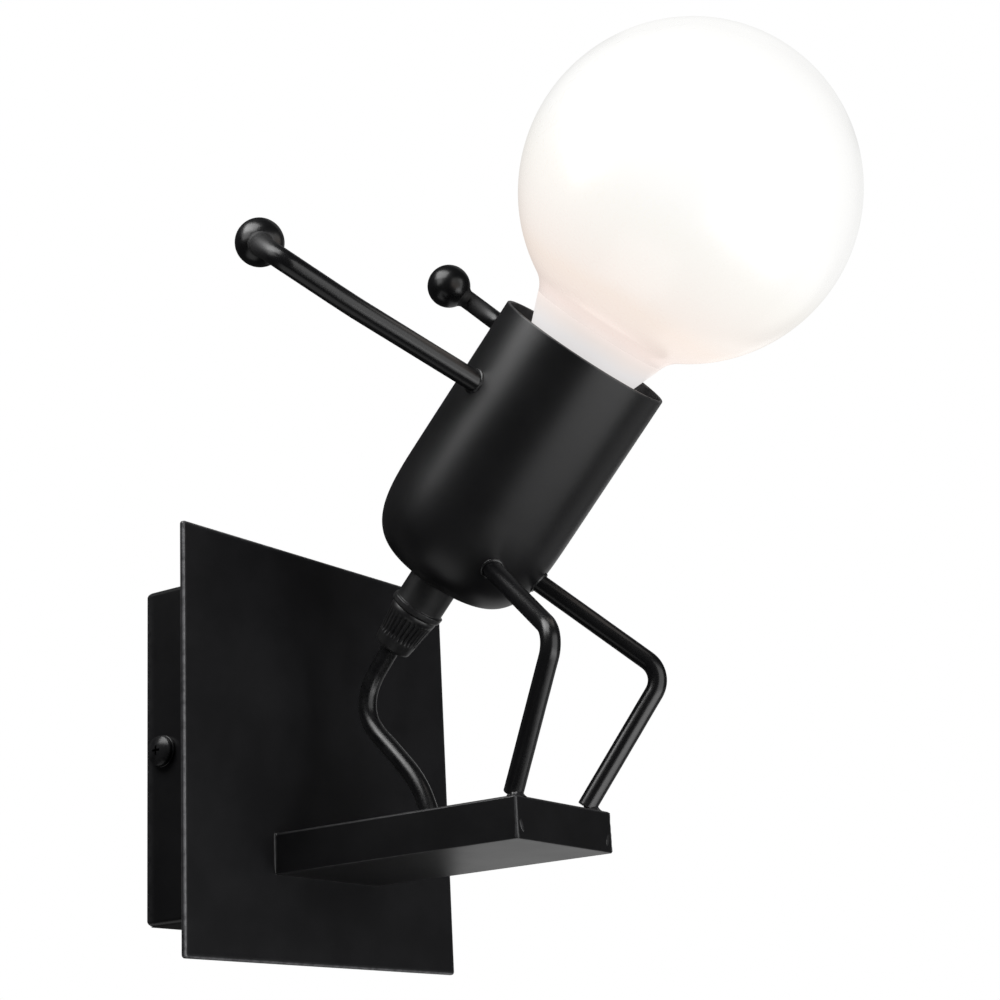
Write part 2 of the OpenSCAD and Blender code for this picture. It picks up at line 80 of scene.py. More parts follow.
ARM_L = [cup(*p) for p in ((-21.6, 5.4, 56.2), (-57.1, 32.6, 56.5), (-74.4, 46.8, 57.3), (-74, 56.1, 56.6), (-67, 64.8, 55.7))]
ARM_R_ = [cup(*p) for p in ((18, 14, 58), (41.8, 65.8, 65.1), (40.6, 82.4, 65.1), (34.3, 85.9, 65.7))]
LEG_L = [Vector(p) for p in ((-9.5, -93, 43.9), (-28.4, -126.3, 14.7), (-18.1, -103.8, -22.7))]
LEG_RR = [Vector(p) for p in ((9.4, -93.7, 44.5), (28.3, -125.9, 13), (18.1, -103.5, -22.8))]
CORD = [(-47.9, 24.8), (-44.8, 21), (-42.7, 16.9), (-42, 12.6), (-42.9, 8.4), (-45.3, 4.6),
        (-49, 0.5), (-53.4, -4.4), (-57.5, -9.4), (-60.8, -15), (-63, -21.5), (-64.1, -29)]
WIRE_CUP = [(1.2, 0, 14), (1.4, 0, 18), (4.5, 0, 23), (8, 0, 28), (8.5, 0, 33.8)]
WIRE_BASE = [(1.2, -64.1, -29), (1.2, -63.4, -31.5), (1.3, -60, -32.5), (1.4, -52, -32), (1.5, -38, -30.5), (1.6, -26, -29.7),
             (2, -21, -28.8), (5, -18.5, -20), (8, -17.5, -10), (8.5, -17.3, -2), (8.5, -17.3, 4), (8.5, -17.3, 9.5)]
WIRE_EARTH = [(-24.4, -21.6, -12), (-19, -18, -12.6), (-13, -14, -11), (-6, -13.6, -8), (-1.5, -15.6, -4), (0, -17.3, 0), (0, -17.3, 4), (0, -17.3, 9.5)]

# ---- camera -----------------------------------------------------------------


def add_camera():
    yaw, pitch, roll = (math.radians(a) for a in (-56.01, -17.34, -2.97))
    back = Vector((math.sin(yaw) * math.cos(pitch), -math.cos(yaw) * math.cos(pitch), math.sin(pitch)))
    right = (-back).cross(Vector((0, 0, 1))).normalized()
    up = right.cross(-back)
    r2 = right * math.cos(roll) + up * math.sin(roll)
    u2 = up * math.cos(roll) - right * math.sin(roll)
    data = bpy.data.cameras.new("camera")
    data.sensor_width, data.lens = 36.0, 74.9585
    data.clip_start, data.clip_end = 0.02, 20
    obj = bpy.data.objects.new("camera", data)
    scene.collection.objects.link(obj)
    m = Matrix((r2, u2, back)).transposed().to_4x4()
    m.translation = Vector((-0.47025, -0.40929, -0.11222))
    obj.matrix_world = m
    scene.camera = obj


add_camera()

# ---- materials --------------------------------------------------------------


class Finish:
    """A procedural material: a principled shader with helpers for noise, colour and bump."""

    def __init__(self, name, base=(0.8, 0.8, 0.8), rough=0.5, **sockets):
        self.m = bpy.data.materials.new(name)
        self.m.use_nodes = True
        self.t = self.m.node_tree
        self.t.nodes.clear()
        self.b = self.t.nodes.new("ShaderNodeBsdfPrincipled")
        out = self.t.nodes.new("ShaderNodeOutputMaterial")
        self.t.links.new(self.b.outputs[0], out.inputs[0])
        self.co = self.t.nodes.new("ShaderNodeTexCoord").outputs["Object"]
        self.b.inputs["Base Color"].default_value = (*base, 1)
        self.b.inputs["Roughness"].default_value = rough
        for k, v in sockets.items():
            self.b.inputs[k.replace("_", " ")].default_value = v
        self.m.diffuse_color = (*base, 1)

    def link(self, a, b):
        self.t.links.new(a, b)

    def stretch(self, x, y, z):
        n = self.t.nodes.new("ShaderNodeMapping")
        n.inputs["Scale"].default_value = (x, y, z)
        self.link(self.co, n.inputs["Vector"])
        return n.outputs[0]

    def noise(self, scale, detail=3.0, rough=0.55, vec=None, warp=0.0):
        n = self.t.nodes.new("ShaderNodeTexNoise")
        n.inputs["Scale"].default_value = scale
        n.inputs["Detail"].default_value = detail
        n.inputs["Roughness"].default_value = rough
        n.inputs["Distortion"].default_value = warp
        self.link(vec or self.co, n.inputs["Vector"])
        return n.outputs[0]

    def cells(self, scale, vec=None):
        n = self.t.nodes.new("ShaderNodeTexVoronoi")
        n.inputs["Scale"].default_value = scale
        self.link(vec or self.co, n.inputs["Vector"])
        return n.outputs["Distance"]

    def span(self, src, lo, hi, a, b, smooth=True):
        n = self.t.nodes.new("ShaderNodeMapRange")
        n.interpolation_type = "SMOOTHSTEP" if smooth else "LINEAR"
        for k, v in zip(("From Min", "From Max", "To Min", "To Max"), (lo, hi, a, b)):
            n.inputs[k].default_value = v
        self.link(src, n.inputs["Value"])
        return n.outputs[0]

    def math(self, op, a, b):
        n = self.t.nodes.new("ShaderNodeMath")
        n.operation = op
        for i, x in enumerate((a, b)):
            if isinstance(x, (int, float)):
                n.inputs[i].default_value = x
            else:
                self.link(x, n.inputs[i])
        return n.outputs[0]

    def mix(self, fac, c1, c2):
        n = self.t.nodes.new("ShaderNodeMix")
        n.data_type = "RGBA"
        self.link(fac, n.inputs[0])
        for i, c in ((6, c1), (7, c2)):
            if isinstance(c, tuple):
                n.inputs[i].default_value = (*c, 1)
            else:
                self.link(c, n.inputs[i])
        return n.outputs[2]

    def wear(self):
        n = self.t.nodes.new("ShaderNodeAttribute")
        n.attribute_name = "wear"
        return n.outputs["Fac"]

    def colour(self, src):
        self.link(src, self.b.inputs["Base Color"])

    def rough(self, src):
        self.link(src, self.b.inputs["Roughness"])

    def bump(self, height, distance, strength=1.0, under=None):
        n = self.t.nodes.new("ShaderNodeBump")
        n.inputs["Strength"].default_value = strength
        n.inputs["Distance"].default_value = distance
        self.link(height, n.inputs["Height"])
        if under is not None:
            self.link(under, n.inputs["Normal"])
        self.link(n.outputs[0], self.b.inputs["Normal"])
        return n.outputs[0]


def coat_finish(name, rough=0.33, peel=1.0, tone=1.0, edge_wear_and_highlight=0.045, ior=1.5, daub=None):
    """Satin black stoved coating: fine orange peel, faint mottling, edges a little lighter from rubbed wear and, where
    the edge colour is set high, a painted edge highlight; tone gives lighter or darker copies of the coat, which is
    painted light or shade; duller where it lies thick at daub.
    """
    f = Finish(name, (0.0043, 0.0043, 0.0048), rough)
    f.b.inputs["IOR"].default_value = ior
    mottle = f.noise(55, 4, 0.6)
    # tone away from 1 makes a lit or shaded copy of the coat: painted light or shade
    dark, pale = (0.0036 * tone, 0.0036 * tone, 0.0041 * tone), (0.0050 * tone, 0.0050 * tone, 0.0056 * tone)
    body = f.mix(f.span(mottle, 0.35, 0.65, 0, 1), dark, pale)
    rub = f.math("MULTIPLY", f.wear(), f.span(f.noise(420, 3, 0.6), 0.30, 0.62, 0.35, 1))
    # edge colour: rubbed wear, and a painted highlight on pieces where it is set high
    f.colour(f.mix(rub, body, (edge_wear_and_highlight, edge_wear_and_highlight, edge_wear_and_highlight * 1.04)))
    dust = f.span(f.cells(700), 0.0, 0.09, 0.12, 0.0)
    r = f.math("ADD", f.span(mottle, 0.3, 0.7, rough - 0.012, rough + 0.012), dust)
    if daub:
        n = f.t.nodes.new("ShaderNodeVectorMath")
        n.operation = "DISTANCE"
        f.link(f.co, n.inputs[0])
        n.inputs[1].default_value = daub * MM
        r = f.math("ADD", r, f.span(n.outputs["Value"], 0.0125, 0.021, 0.38, 0))
    f.rough(f.math("SUBTRACT", r, f.math("MULTIPLY", rub, 0.05)))
    soft = f.bump(f.noise(170, 2, 0.5), 0.000022 * peel, 0.6)
    f.bump(f.noise(900, 2, 0.5), 0.000008 * peel, 0.8, soft)
    return f.m


def plastic_finish(name, base, rough, grain=1.0, spread=0.12, **kw):
    """Moulded plastic: slight tone drift, a fine mould grain."""
    f = Finish(name, base, rough, **kw)
    drift = f.noise(90, 3, 0.5)
    lo, hi = tuple(c * (1 - spread) for c in base), tuple(min(1, c * (1 + spread * 0.5)) for c in base)
    rub = f.math("MULTIPLY", f.wear(), 0.5)
    f.colour(f.mix(rub, f.mix(f.span(drift, 0.3, 0.7, 0, 1), lo, hi), tuple(min(1, c * 1.35 + 0.01) for c in base)))
    f.rough(f.span(f.noise(240, 3, 0.6), 0.3, 0.7, rough - 0.05, rough + 0.06))
    f.bump(f.noise(1500, 2, 0.6), 0.00001 * grain, 0.7)
    return f.m


def metal_finish(name, base, rough, streak=(1, 1, 1), dirt=(0.25, 0.24, 0.22), **kw):
    """Bare or plated metal: drawn lines, dull patches."""
    f = Finish(name, base, rough, Metallic=1.0, **kw)
    lines = f.noise(260, 4, 0.65, f.stretch(*streak))
    cloud = f.noise(120, 4, 0.6)
    f.colour(f.mix(f.span(cloud, 0.52, 0.75, 0, 0.45), f.mix(lines, tuple(c * 0.86 for c in base), base), dirt))
    f.rough(f.math("ADD", f.span(lines, 0.3, 0.7, rough - 0.07, rough + 0.07), f.span(cloud, 0.5, 0.75, 0, 0.15)))
    f.bump(lines, 0.000012, 0.7)
    return f.m


def rubber_finish(name, base, rough):
    f = Finish(name, base, rough)
    f.b.inputs["Specular IOR Level"].default_value = 0.45
    bloom = f.span(f.noise(150, 4, 0.6), 0.45, 0.75, 0, 1)
    f.colour(f.mix(bloom, base, tuple(c * 1.7 + 0.006 for c in base)))
    f.rough(f.span(f.noise(420, 3, 0.6), 0.3, 0.7, rough - 0.06, rough + 0.08))
    f.bump(f.noise(1200, 2, 0.6), 0.00002, 0.7)
    return f.m


def sheath_finish(name):
    """Smooth extruded cord sheath, faintly wavy."""
    f = Finish(name, (0.006, 0.006, 0.0065), 0.28)
    f.b.inputs["IOR"].default_value = 1.48
    cloud = f.noise(160, 3, 0.55)
    f.colour(f.mix(f.span(cloud, 0.4, 0.7, 0, 1), (0.004, 0.004, 0.0045), (0.008, 0.008, 0.0085)))
    f.rough(f.span(f.noise(500, 3, 0.6), 0.3, 0.7, 0.24, 0.31))
    soft = f.bump(f.noise(210, 2, 0.5), 0.00003, 0.6)
    f.bump(f.noise(1400, 2, 0.6), 0.000004, 0.7, soft)
    return f.m


def wire_finish(name, base, stripe=None):
    f = Finish(name, base, 0.32)
    tone = f.span(f.noise(300, 3, 0.5), 0.3, 0.7, 0, 1)
    body = f.mix(tone, tuple(c * 0.85 for c in base), base)
    if stripe:
        n = f.t.nodes.new("ShaderNodeAttribute")
        n.attribute_name = "wear"
        body = f.mix(f.span(n.outputs["Fac"], 0.45, 0.55, 0, 1), body, stripe)
    f.colour(body)
    f.rough(f.span(f.noise(500, 2, 0.5), 0.3, 0.7, 0.27, 0.38))
    f.bump(f.noise(800, 2, 0.5), 0.00001, 0.7)
    return f.m


# light that leaves the bulb, dimmer low down as painted shade where the cup shades the neck: height above the cup's
# bottom in millimetres, colour
BULB_GLOW_AND_SHADE = ((66, (0.56, 0.54, 0.54)), (80, (0.70, 0.68, 0.68)), (84, (0.765, 0.69, 0.655)), (88, (0.87, 0.74, 0.685)), (93, (0.90, 0.785, 0.715)),
        (97, (0.90, 0.79, 0.715)), (102, (0.89, 0.815, 0.76)), (110, (0.885, 0.84, 0.795)), (120, (0.89, 0.87, 0.83)), (131, (0.91, 0.905, 0.89)), (142, (0.92, 0.92, 0.91)))


def glow_and_shade_along_axis(f):
    """Emission along the bulb's axis: warm by the neck, white above, and dimmer low on the neck as painted shade from
    the cup.
    """
    n = f.t.nodes.new("ShaderNodeVectorMath")
    n.operation = "DOT_PRODUCT"
    f.link(f.co, n.inputs[0])
    n.inputs[1].default_value = CUP_Z
    base, lo, hi = CUP_O.dot(CUP_Z), BULB_GLOW_AND_SHADE[0][0], BULB_GLOW_AND_SHADE[-1][0]
    where = f.span(n.outputs["Value"], (base + lo) * MM, (base + hi) * MM, 0, 1, smooth=False)
    drift = f.math("ADD", where, f.span(f.noise(28, 3, 0.5), 0.3, 0.7, -0.012, 0.012))
    ramp = f.t.nodes.new("ShaderNodeValToRGB")
    f.link(drift, ramp.inputs[0])
    stops = ramp.color_ramp.elements
    for k, (z, c) in enumerate(BULB_GLOW_AND_SHADE):
        at = (z - lo) / (hi - lo)
        e = stops[0] if k == 0 else stops[len(stops) - 1] if k == len(BULB_GLOW_AND_SHADE) - 1 else stops.new(at)
        e.position, e.color = at, (*c, 1)
    f.link(ramp.outputs[0], f.b.inputs["Emission Color"])
    f.b.inputs["Emission Strength"].default_value = 1.0


def globe_finish(name):
    """Opal glass that glows."""
    f = Finish(name, (0.15, 0.147, 0.144), 0.28)
    f.b.inputs["Coat Weight"].default_value = 0.5
    f.b.inputs["Coat Roughness"].default_value = 0.25
    cloud = f.noise(28, 3, 0.5)
    glow_and_shade_along_axis(f)
    f.colour(f.mix(f.span(cloud, 0.3, 0.7, 0, 1), (0.143, 0.14, 0.137), (0.157, 0.154, 0.151)))
    f.rough(f.span(f.noise(400, 3, 0.5), 0.3, 0.7, 0.25, 0.33))
    f.bump(f.noise(900, 2, 0.5), 0.000006, 0.6)
    return f.m


def neck_finish(name):
    """White plastic whose glow is painted light: it stands in for the lamps' light on the plastic and for the board's
    light through it, with painted shade by the cup.
    """
    f = Finish(name, (0.15, 0.147, 0.144), 0.36)
    cloud = f.noise(70, 3, 0.5)
    f.colour(f.mix(f.span(cloud, 0.3, 0.7, 0, 1), (0.143, 0.14, 0.137), (0.157, 0.154, 0.151)))
    glow_and_shade_along_axis(f)
    f.rough(f.span(f.noise(500, 3, 0.6), 0.3, 0.7, 0.32, 0.42))
    f.bump(f.noise(1300, 2, 0.6), 0.00001, 0.7)
    return f.m


COAT = coat_finish("black_coat_sheet", 0.32, 0.9)
# painted light: the plate's coat is a lighter copy (tone 1.7), and its pale edge colour (0.16) paints the highlight
# along its rounded edges
COAT_PLATE = coat_finish("black_coat_plate_painted_light", 0.33, 0.9, 1.7, 0.16)
COAT_LEDGE = coat_finish("black_coat_ledge", 0.34, 0.9)
COAT_CUP = coat_finish("black_coat_cup", 0.36, 0.9)
COAT_ROD = coat_finish("black_coat_rod", 0.27, 0.5)
COAT_ARM_L = coat_finish("black_coat_arm_left", 0.27, 0.5, daub=ARM_L[-1])
COAT_ARM_R = coat_finish("black_coat_arm_right", 0.27, 0.5, daub=ARM_R_[-1])
COAT_BALL = coat_finish("black_coat_ball", 0.28, 0.35)
# painted shade: the screw's coat is a darker copy (tone 0.8)
SCREW = coat_finish("black_screw_darker_painted_shade", 0.26, 0.5, 0.8, ior=1.34)
ZINC = metal_finish("zinc_plate", (0.66, 0.66, 0.68), 0.34, (1, 6, 6))
BRASS = metal_finish("brass_plain", (0.72, 0.53, 0.24), 0.30, (5, 5, 1), (0.30, 0.20, 0.08))
CAPMETAL = metal_finish("cap_metal_thin", (0.80, 0.80, 0.80), 0.24, (2, 2, 5))
WHITE_BLOCK = plastic_finish("terminal_white_moulded", (0.80, 0.78, 0.72), 0.45, 1.2, 0.06)
GLAND = plastic_finish("gland_plastic", (0.008, 0.008, 0.0085), 0.36, 1.5, 0.2, IOR=1.55)
RUBBER = rubber_finish("black_rubber_soft", (0.012, 0.012, 0.012), 0.62)
SHEATH = sheath_finish("cord_sheath_smooth")
BROWN = wire_finish("wire_brown_skin", (0.14, 0.045, 0.015))
BLUE = wire_finish("wire_blue_skin", (0.02, 0.07, 0.36))
GREEN = wire_finish("wire_green_skin", (0.06, 0.26, 0.04), (0.62, 0.52, 0.03))
HOLDER = plastic_finish("holder_moulded", (0.017, 0.017, 0.018), 0.42, 1.6, 0.15)
INSULATOR = plastic_finish("insulator_gloss", (0.012, 0.012, 0.016), 0.16, 0.5, 0.2)
OPAL = globe_finish("opal_glow")
NECK = neck_finish("neck_white_painted_glow")
BOARD_WHITE = plastic_finish("board_white_mask", (0.80, 0.80, 0.79), 0.38, 0.8, 0.05)
CHIP = plastic_finish("chip_phosphor", (0.85, 0.60, 0.10), 0.35, 0.6, 0.08)
BOARD_GREEN = plastic_finish("board_green_lacquer", (0.02, 0.13, 0.05), 0.30, 0.8, 0.2)
SLEEVE = plastic_finish("capacitor_sleeve", (0.015, 0.015, 0.020), 0.25, 0.4, 0.2)

# ---- mesh building, in millimetres ------------------------------------------


class Shape:
    """Vertices, faces and an edge-wear value for each vertex."""

    def __init__(self):
        self.v, self.f, self.w = [], [], []

    def pt(self, p, wear=0.0):
        self.v.append(Vector(p))
        self.w.append(wear)
        return len(self.v) - 1

    def ring(self, pts, wear=0.0):
        return [self.pt(p, wear) for p in pts]

    def bridge(self, a, b):
        na, nb = len(a), len(b)
        if na == 1 and nb == 1:
            return
        for j in range(max(na, nb)):
            k = (j + 1) % max(na, nb)
            if na == 1:
                self.f.append((a[0], b[k], b[j]))
            elif nb == 1:
                self.f.append((a[j], a[k], b[0]))
            else:
                self.f.append((a[j], a[k], b[k], b[j]))

    def strip(self, rings, closed=False):
        for a, b in zip(rings, rings[1:] + (rings[:1] if closed else [])):
            if b is not a:
                self.bridge(a, b)

    def cap(self, loop):
        self.f.append(tuple(loop))


def build(shape, name, material, body, replaces=(), sharp=38, weighted=True, cut=None):
    """Makes the object from a shape, cuts openings, smooths it, and sets it on its body."""
    mesh = bpy.data.meshes.new(name)
    mesh.from_pydata([v * MM for v in shape.v], [], shape.f)
    bm = bmesh.new()
    bm.from_mesh(mesh)
    bmesh.ops.recalc_face_normals(bm, faces=bm.faces)
    bm.to_mesh(mesh)
    bm.free()
    mesh.attributes.new("wear", "FLOAT", "POINT").data.foreach_set("value", shape.w)
    obj = bpy.data.objects.new(name, mesh)
    scene.collection.objects.link(obj)
    return dress(obj, material, body, replaces, sharp, weighted, cut)


def dress(obj, material, body, replaces=(), sharp=38, weighted=True, cut=None):
    if cut:
        carve(obj, cut)
    mesh = obj.data
    mesh.materials.clear()
    mesh.materials.append(material)
    mesh.polygons.foreach_set("use_smooth", [True] * len(mesh.polygons))
    if sharp:
        mesh.set_sharp_from_angle(angle=math.radians(sharp))
    if weighted:
        n = obj.modifiers.new("weighted", "WEIGHTED_NORMAL")
        n.keep_sharp, n.weight = True, 60
    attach(obj, body)
    if replaces:
        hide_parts(*replaces)
    return obj


def carve(obj, cutters):
    """Takes round or square cutters, given as shapes, out of the object's mesh."""
    made = []
    for s in cutters:
        m = bpy.data.meshes.new("cutter")
        m.from_pydata([v * MM for v in s.v], [], s.f)
        bm = bmesh.new()
        bm.from_mesh(m)
        bmesh.ops.recalc_face_normals(bm, faces=bm.faces)
        bm.to_mesh(m)
        bm.free()
        c = bpy.data.objects.new("cutter", m)
        scene.collection.objects.link(c)
        made.append(c)
        b = obj.modifiers.new("cut", "BOOLEAN")
        b.operation, b.solver, b.object = "DIFFERENCE", "EXACT", c
    bpy.context.view_layer.update()
    dg = bpy.context.evaluated_depsgraph_get()
    new = bpy.data.meshes.new_from_object(obj.evaluated_get(dg))
    old, obj.data = obj.data, new
    new.name = obj.name
    obj.modifiers.clear()
    bpy.data.meshes.remove(old)
    for c in made:
        m = c.data
        bpy.data.objects.remove(c)
        bpy.data.meshes.remove(m)


def world(x, y, z):
    return Vector((x, y, z))


def lathe(s, prof, place=cup, segs=96, closed=True, shape=None):
    """Turns a profile of (radius, height[, wear]) about the place's Z axis."""
    rings = []
    for q in prof:
        r, z, w = q[0], q[1], q[2] if len(q) > 2 else 0.0
        if r < 1e-6:
            rings.append([s.pt(place(0, 0, z), w)])
        else:
            ring = []
            for j in range(segs):
                t = TAU * j / segs
                rr = shape(r, t, z) if shape else r
                ring.append(s.pt(place(rr * math.cos(t), rr * math.sin(t), z), w))
            rings.append(ring)
    s.strip(rings, closed)
    return rings


def corner(c0, c1, c2, r, n=4, wear=0.0):
    """Points that round the corner c1 of a profile."""
    a, b, c = Vector(c0), Vector(c1), Vector(c2)
    u, w = (b - a).normalized(), (c - b).normalized()
    ph = u.angle(w)
    t = r * math.tan(ph / 2)
    p, q = b - u * t, b + w * t
    mid = b + (w - u).normalized() * r / math.cos(ph / 2)
    out = []
    for i in range(n + 1):
        k = i / n
        d = ((p - mid) * (1 - k) + (q - mid) * k).normalized() * r
        out.append((mid.x + d.x, mid.y + d.y, wear))
    return out


def rounded(prof, radii, wear=0.0, n=4):
    """A closed profile with its corners rounded by the radii given (0 keeps a corner)."""
    out, m = [], len(prof)
    for i, (p, r) in enumerate(zip(prof, radii)):
        if r > 0:
            out += corner(prof[i - 1], p, prof[(i + 1) % m], r, n, wear)
        else:
            out.append((p[0], p[1], 0.0))
    return out


def hide_box(x0, x1, y0, y1, z0, z1):
    s = Shape()
    a = s.ring([(x0, y0, z0), (x1, y0, z0), (x1, y1, z0), (x0, y1, z0)])
    b = s.ring([(x0, y0, z1), (x1, y0, z1), (x1, y1, z1), (x0, y1, z1)])
    s.bridge(a, b)
    s.cap(a)
    s.cap(b)
    return s


def drill(a, b, r, n=48):
    """A round cutter from a to b."""
    s = Shape()
    a, b = Vector(a), Vector(b)
    x, y = sides_of(b - a)
    rings = [s.ring([p + (x * math.cos(TAU * j / n) + y * math.sin(TAU * j / n)) * r for j in range(n)]) for p in (a, b)]
    s.strip(rings)
    s.cap(rings[0])
    s.cap(rings[1])
    return s


def sides_of(axis):
    a = Vector(axis).normalized()
    h = Vector((0, 0, 1)) if abs(a.z) < 0.9 else Vector((1, 0, 0))
    x = a.cross(h).normalized()
    return x, a.cross(x)


def smooth_line(pts, m):
    """Points of a smooth curve through pts, m steps for each span."""
    p = [Vector(q) for q in pts]
    out = []
    for i in range(len(p) - 1):
        a, b, c, d = p[max(i - 1, 0)], p[i], p[i + 1], p[min(i + 2, len(p) - 1)]
        for j in range(m):
            t = j / m
            out.append(0.5 * (2 * b + (c - a) * t + (2 * a - 5 * b + 4 * c - d) * t * t + (3 * b - a - 3 * c + d) * t ** 3))
    return out + [p[-1]]


def rod_line(pts, radii, step=2.5):
    """Points along straight runs with a round bend at each inner point."""
    out, n = [], len(pts)
    u = [(b - a).normalized() for a, b in zip(pts, pts[1:])]
    t = [0.0] + [r * math.tan(u[i].angle(u[i + 1]) / 2) for i, r in enumerate(radii)] + [0.0]
    for i in range(n - 1):
        a, b = pts[i] + u[i] * t[i], pts[i + 1] - u[i] * t[i + 1]
        k = max(1, round((b - a).length / step))
        out += [a.lerp(b, j / k) for j in range(k)]
        if i + 1 < n - 1:
            ph, r = u[i].angle(u[i + 1]), radii[i]
            c = pts[i + 1] + (u[i + 1] - u[i]).normalized() * r / math.cos(ph / 2)
            x = (b - c).normalized()
            y = u[i].cross(u[i + 1]).normalized().cross(x)
            m = max(4, round(ph * r / 0.7)) if r < 50 else 6
            out += [c + (x * math.cos(ph * j / m) + y * math.sin(ph * j / m)) * r for j in range(m)]
        else:
            out.append(b)
    return out


def frames_of(line):
    """Tangent and two side directions at each point, turning as little as possible."""
    n = len(line)
    tan = [(line[min(i + 1, n - 1)] - line[max(i - 1, 0)]).normalized() for i in range(n)]
    x, _ = sides_of(tan[0])
    out = []
    for i, t in enumerate(tan):
        if i:
            x = tan[i - 1].rotation_difference(t) @ x
        x = (x - t * x.dot(t)).normalized()
        out.append((t, x, t.cross(x)))
    return out


def tube_rings(line, radius, sides):
    out = []
    for p, (t, x, y) in zip(line, frames_of(line)):
        ring = []
        for j in range(sides):
            a = TAU * j / sides
            d = x * math.cos(a) + y * math.sin(a)
            r = radius(p, d) if callable(radius) else radius
            ring.append(p + d * r)
        out.append(ring)
    return out


def tube(s, line, radius, sides=24, wear=0.0, ends=(True, True), edge=0.0):
    """A round tube along a line; edge rounds off its ends."""
    rings = tube_rings(line, radius, sides)
    made = [s.ring(r, wear) for r in rings]
    for k, on in ((0, ends[0]), (-1, ends[1])):
        if not on:
            continue
        c, ring = line[k], rings[k]
        if edge > 0:
            out = (line[0] - line[1]).normalized() if k == 0 else (line[-1] - line[-2]).normalized()
            steps = 4
            lips = []
            for i in range(1, steps + 1):
                a = math.pi / 2 * i / steps
                lips.append(s.ring([c + (q - c) * (1 - edge * (1 - math.cos(a)) / (q - c).length) + out * edge * math.sin(a) for q in ring], 0.5))
            tip = s.pt(c + out * edge, 0.2)
            made = ([[tip]] + lips[::-1] + made) if k == 0 else (made + lips + [[tip]])
        else:
            tip = s.pt(c)
            made = ([[tip]] + made) if k == 0 else (made + [[tip]])
    s.strip(made)


def wobble(p, scale, amount):
    return amount * noise.noise(Vector(p) * scale)


# ---- the cup as a solid, for trimming rods to it ------------------------------


def cup_radius(z, r=CUP_R, h=CUP_H, z0=0.0):
    if z >= z0 + h:
        return r
    k = max(0.0, min(1.0, (z0 + h - z) / h))
    return r * (1 - k ** CUP_E) ** (1 / CUP_E)


def off_cup(p):
    """How far a point is outside the cup's outer surface, about, in millimetres."""
    d = Vector(p) - CUP_O
    z, y = d.dot(CUP_Z), d.dot(CUP_Y)
    rho = math.hypot(d.x, y)
    g = rho - cup_radius(max(z, 0.02))
    e = 0.05
    slope = (cup_radius(max(z + e, 0.02)) - cup_radius(max(z - e, 0.02))) / (2 * e)
    return max(g / math.hypot(1, slope), -z) if z > 0 else max(-z, rho - 9.5)


def off_ball(c):
    return lambda p: (Vector(p) - c).length - BALL_R


def reach(p, d, off, depth):
    """The point from p along d at which a surface is met at the given depth below it."""
    lo, hi = 0.0, 0.0
    while off(p + d * hi) > -depth and hi < 60:
        lo, hi = hi, hi + 0.25
    for _ in range(24):
        m = (lo + hi) / 2
        if off(p + d * m) > -depth:
            lo = m
        else:
            hi = m
    return p + d * hi


def weld(s, centre, axis, r, off, high, wide, seed=0.0, n=96, steps=7):
    """A smooth painted-over weld: a hollow fillet round a rod, from the rod's side to the surface that it meets."""
    axis = Vector(axis).normalized()
    x, y = sides_of(axis)
    rings = []
    for i in range(n):
        a = TAU * i / n
        d = x * math.cos(a) + y * math.sin(a)
        k = 1 + 0.14 * noise.noise(Vector((math.cos(a) * 1.3, math.sin(a) * 1.3, seed))) + 0.03 * math.sin(a * 17 + seed)
        p = reach(centre + d * r, axis, off, 0.0)
        up = reach(centre + d * r, axis, off, -high * k)
        e = 0.15
        g = Vector([off(p + Vector(q) * e) - off(p - Vector(q) * e) for q in ((1, 0, 0), (0, 1, 0), (0, 0, 1))]).normalized()
        away = d - g * d.dot(g)
        away = away.normalized() if away.length > 1e-3 else d
        out = p + away * wide * k
        out -= g * off(out)
        bend = p * 0.62 + (up + out) * 0.19
        row = [up - d * 0.5]
        for j in range(steps + 1):
            u = j / steps
            row.append(up * (1 - u) ** 2 + bend * 2 * u * (1 - u) + out * u * u)
        row += [out - g * 0.4, p - g * 0.5 - d * 0.3]
        rings.append(s.ring(row, 0.15))
    s.strip(rings, True)


def bead(s, centre, axis, r, off, fat, seed=0.0, n=96, sides=12):
    """A thin, smooth weld bead round a rod where it meets a surface, fuller on one side."""
    axis = Vector(axis).normalized()
    x, y = sides_of(axis)
    loop = []
    for i in range(n):
        a = TAU * i / n
        d = x * math.cos(a) + y * math.sin(a)
        loop.append((reach(centre + d * r, axis, off, 0.0), d))
    rings = []
    for i, (p, d) in enumerate(loop):
        t = (loop[(i + 1) % n][0] - loop[i - 1][0]).normalized()
        e = 0.15
        g = Vector([off(p + Vector(q) * e) - off(p - Vector(q) * e) for q in ((1, 0, 0), (0, 1, 0), (0, 0, 1))]).normalized()
        out = (g - t * g.dot(t)).normalized()
        side = t.cross(out)
        a = TAU * i / n
        k = 1 + 0.22 * d.z + 0.16 * noise.noise(Vector((math.cos(a) * 1.3, math.sin(a) * 1.3, seed))) + 0.025 * math.sin(a * 15 + seed)
        rings.append(s.ring([p + (out * math.sin(TAU * j / sides) + side * math.cos(TAU * j / sides)) * fat * k for j in range(sides)], 0.3))
    s.strip(rings, True)


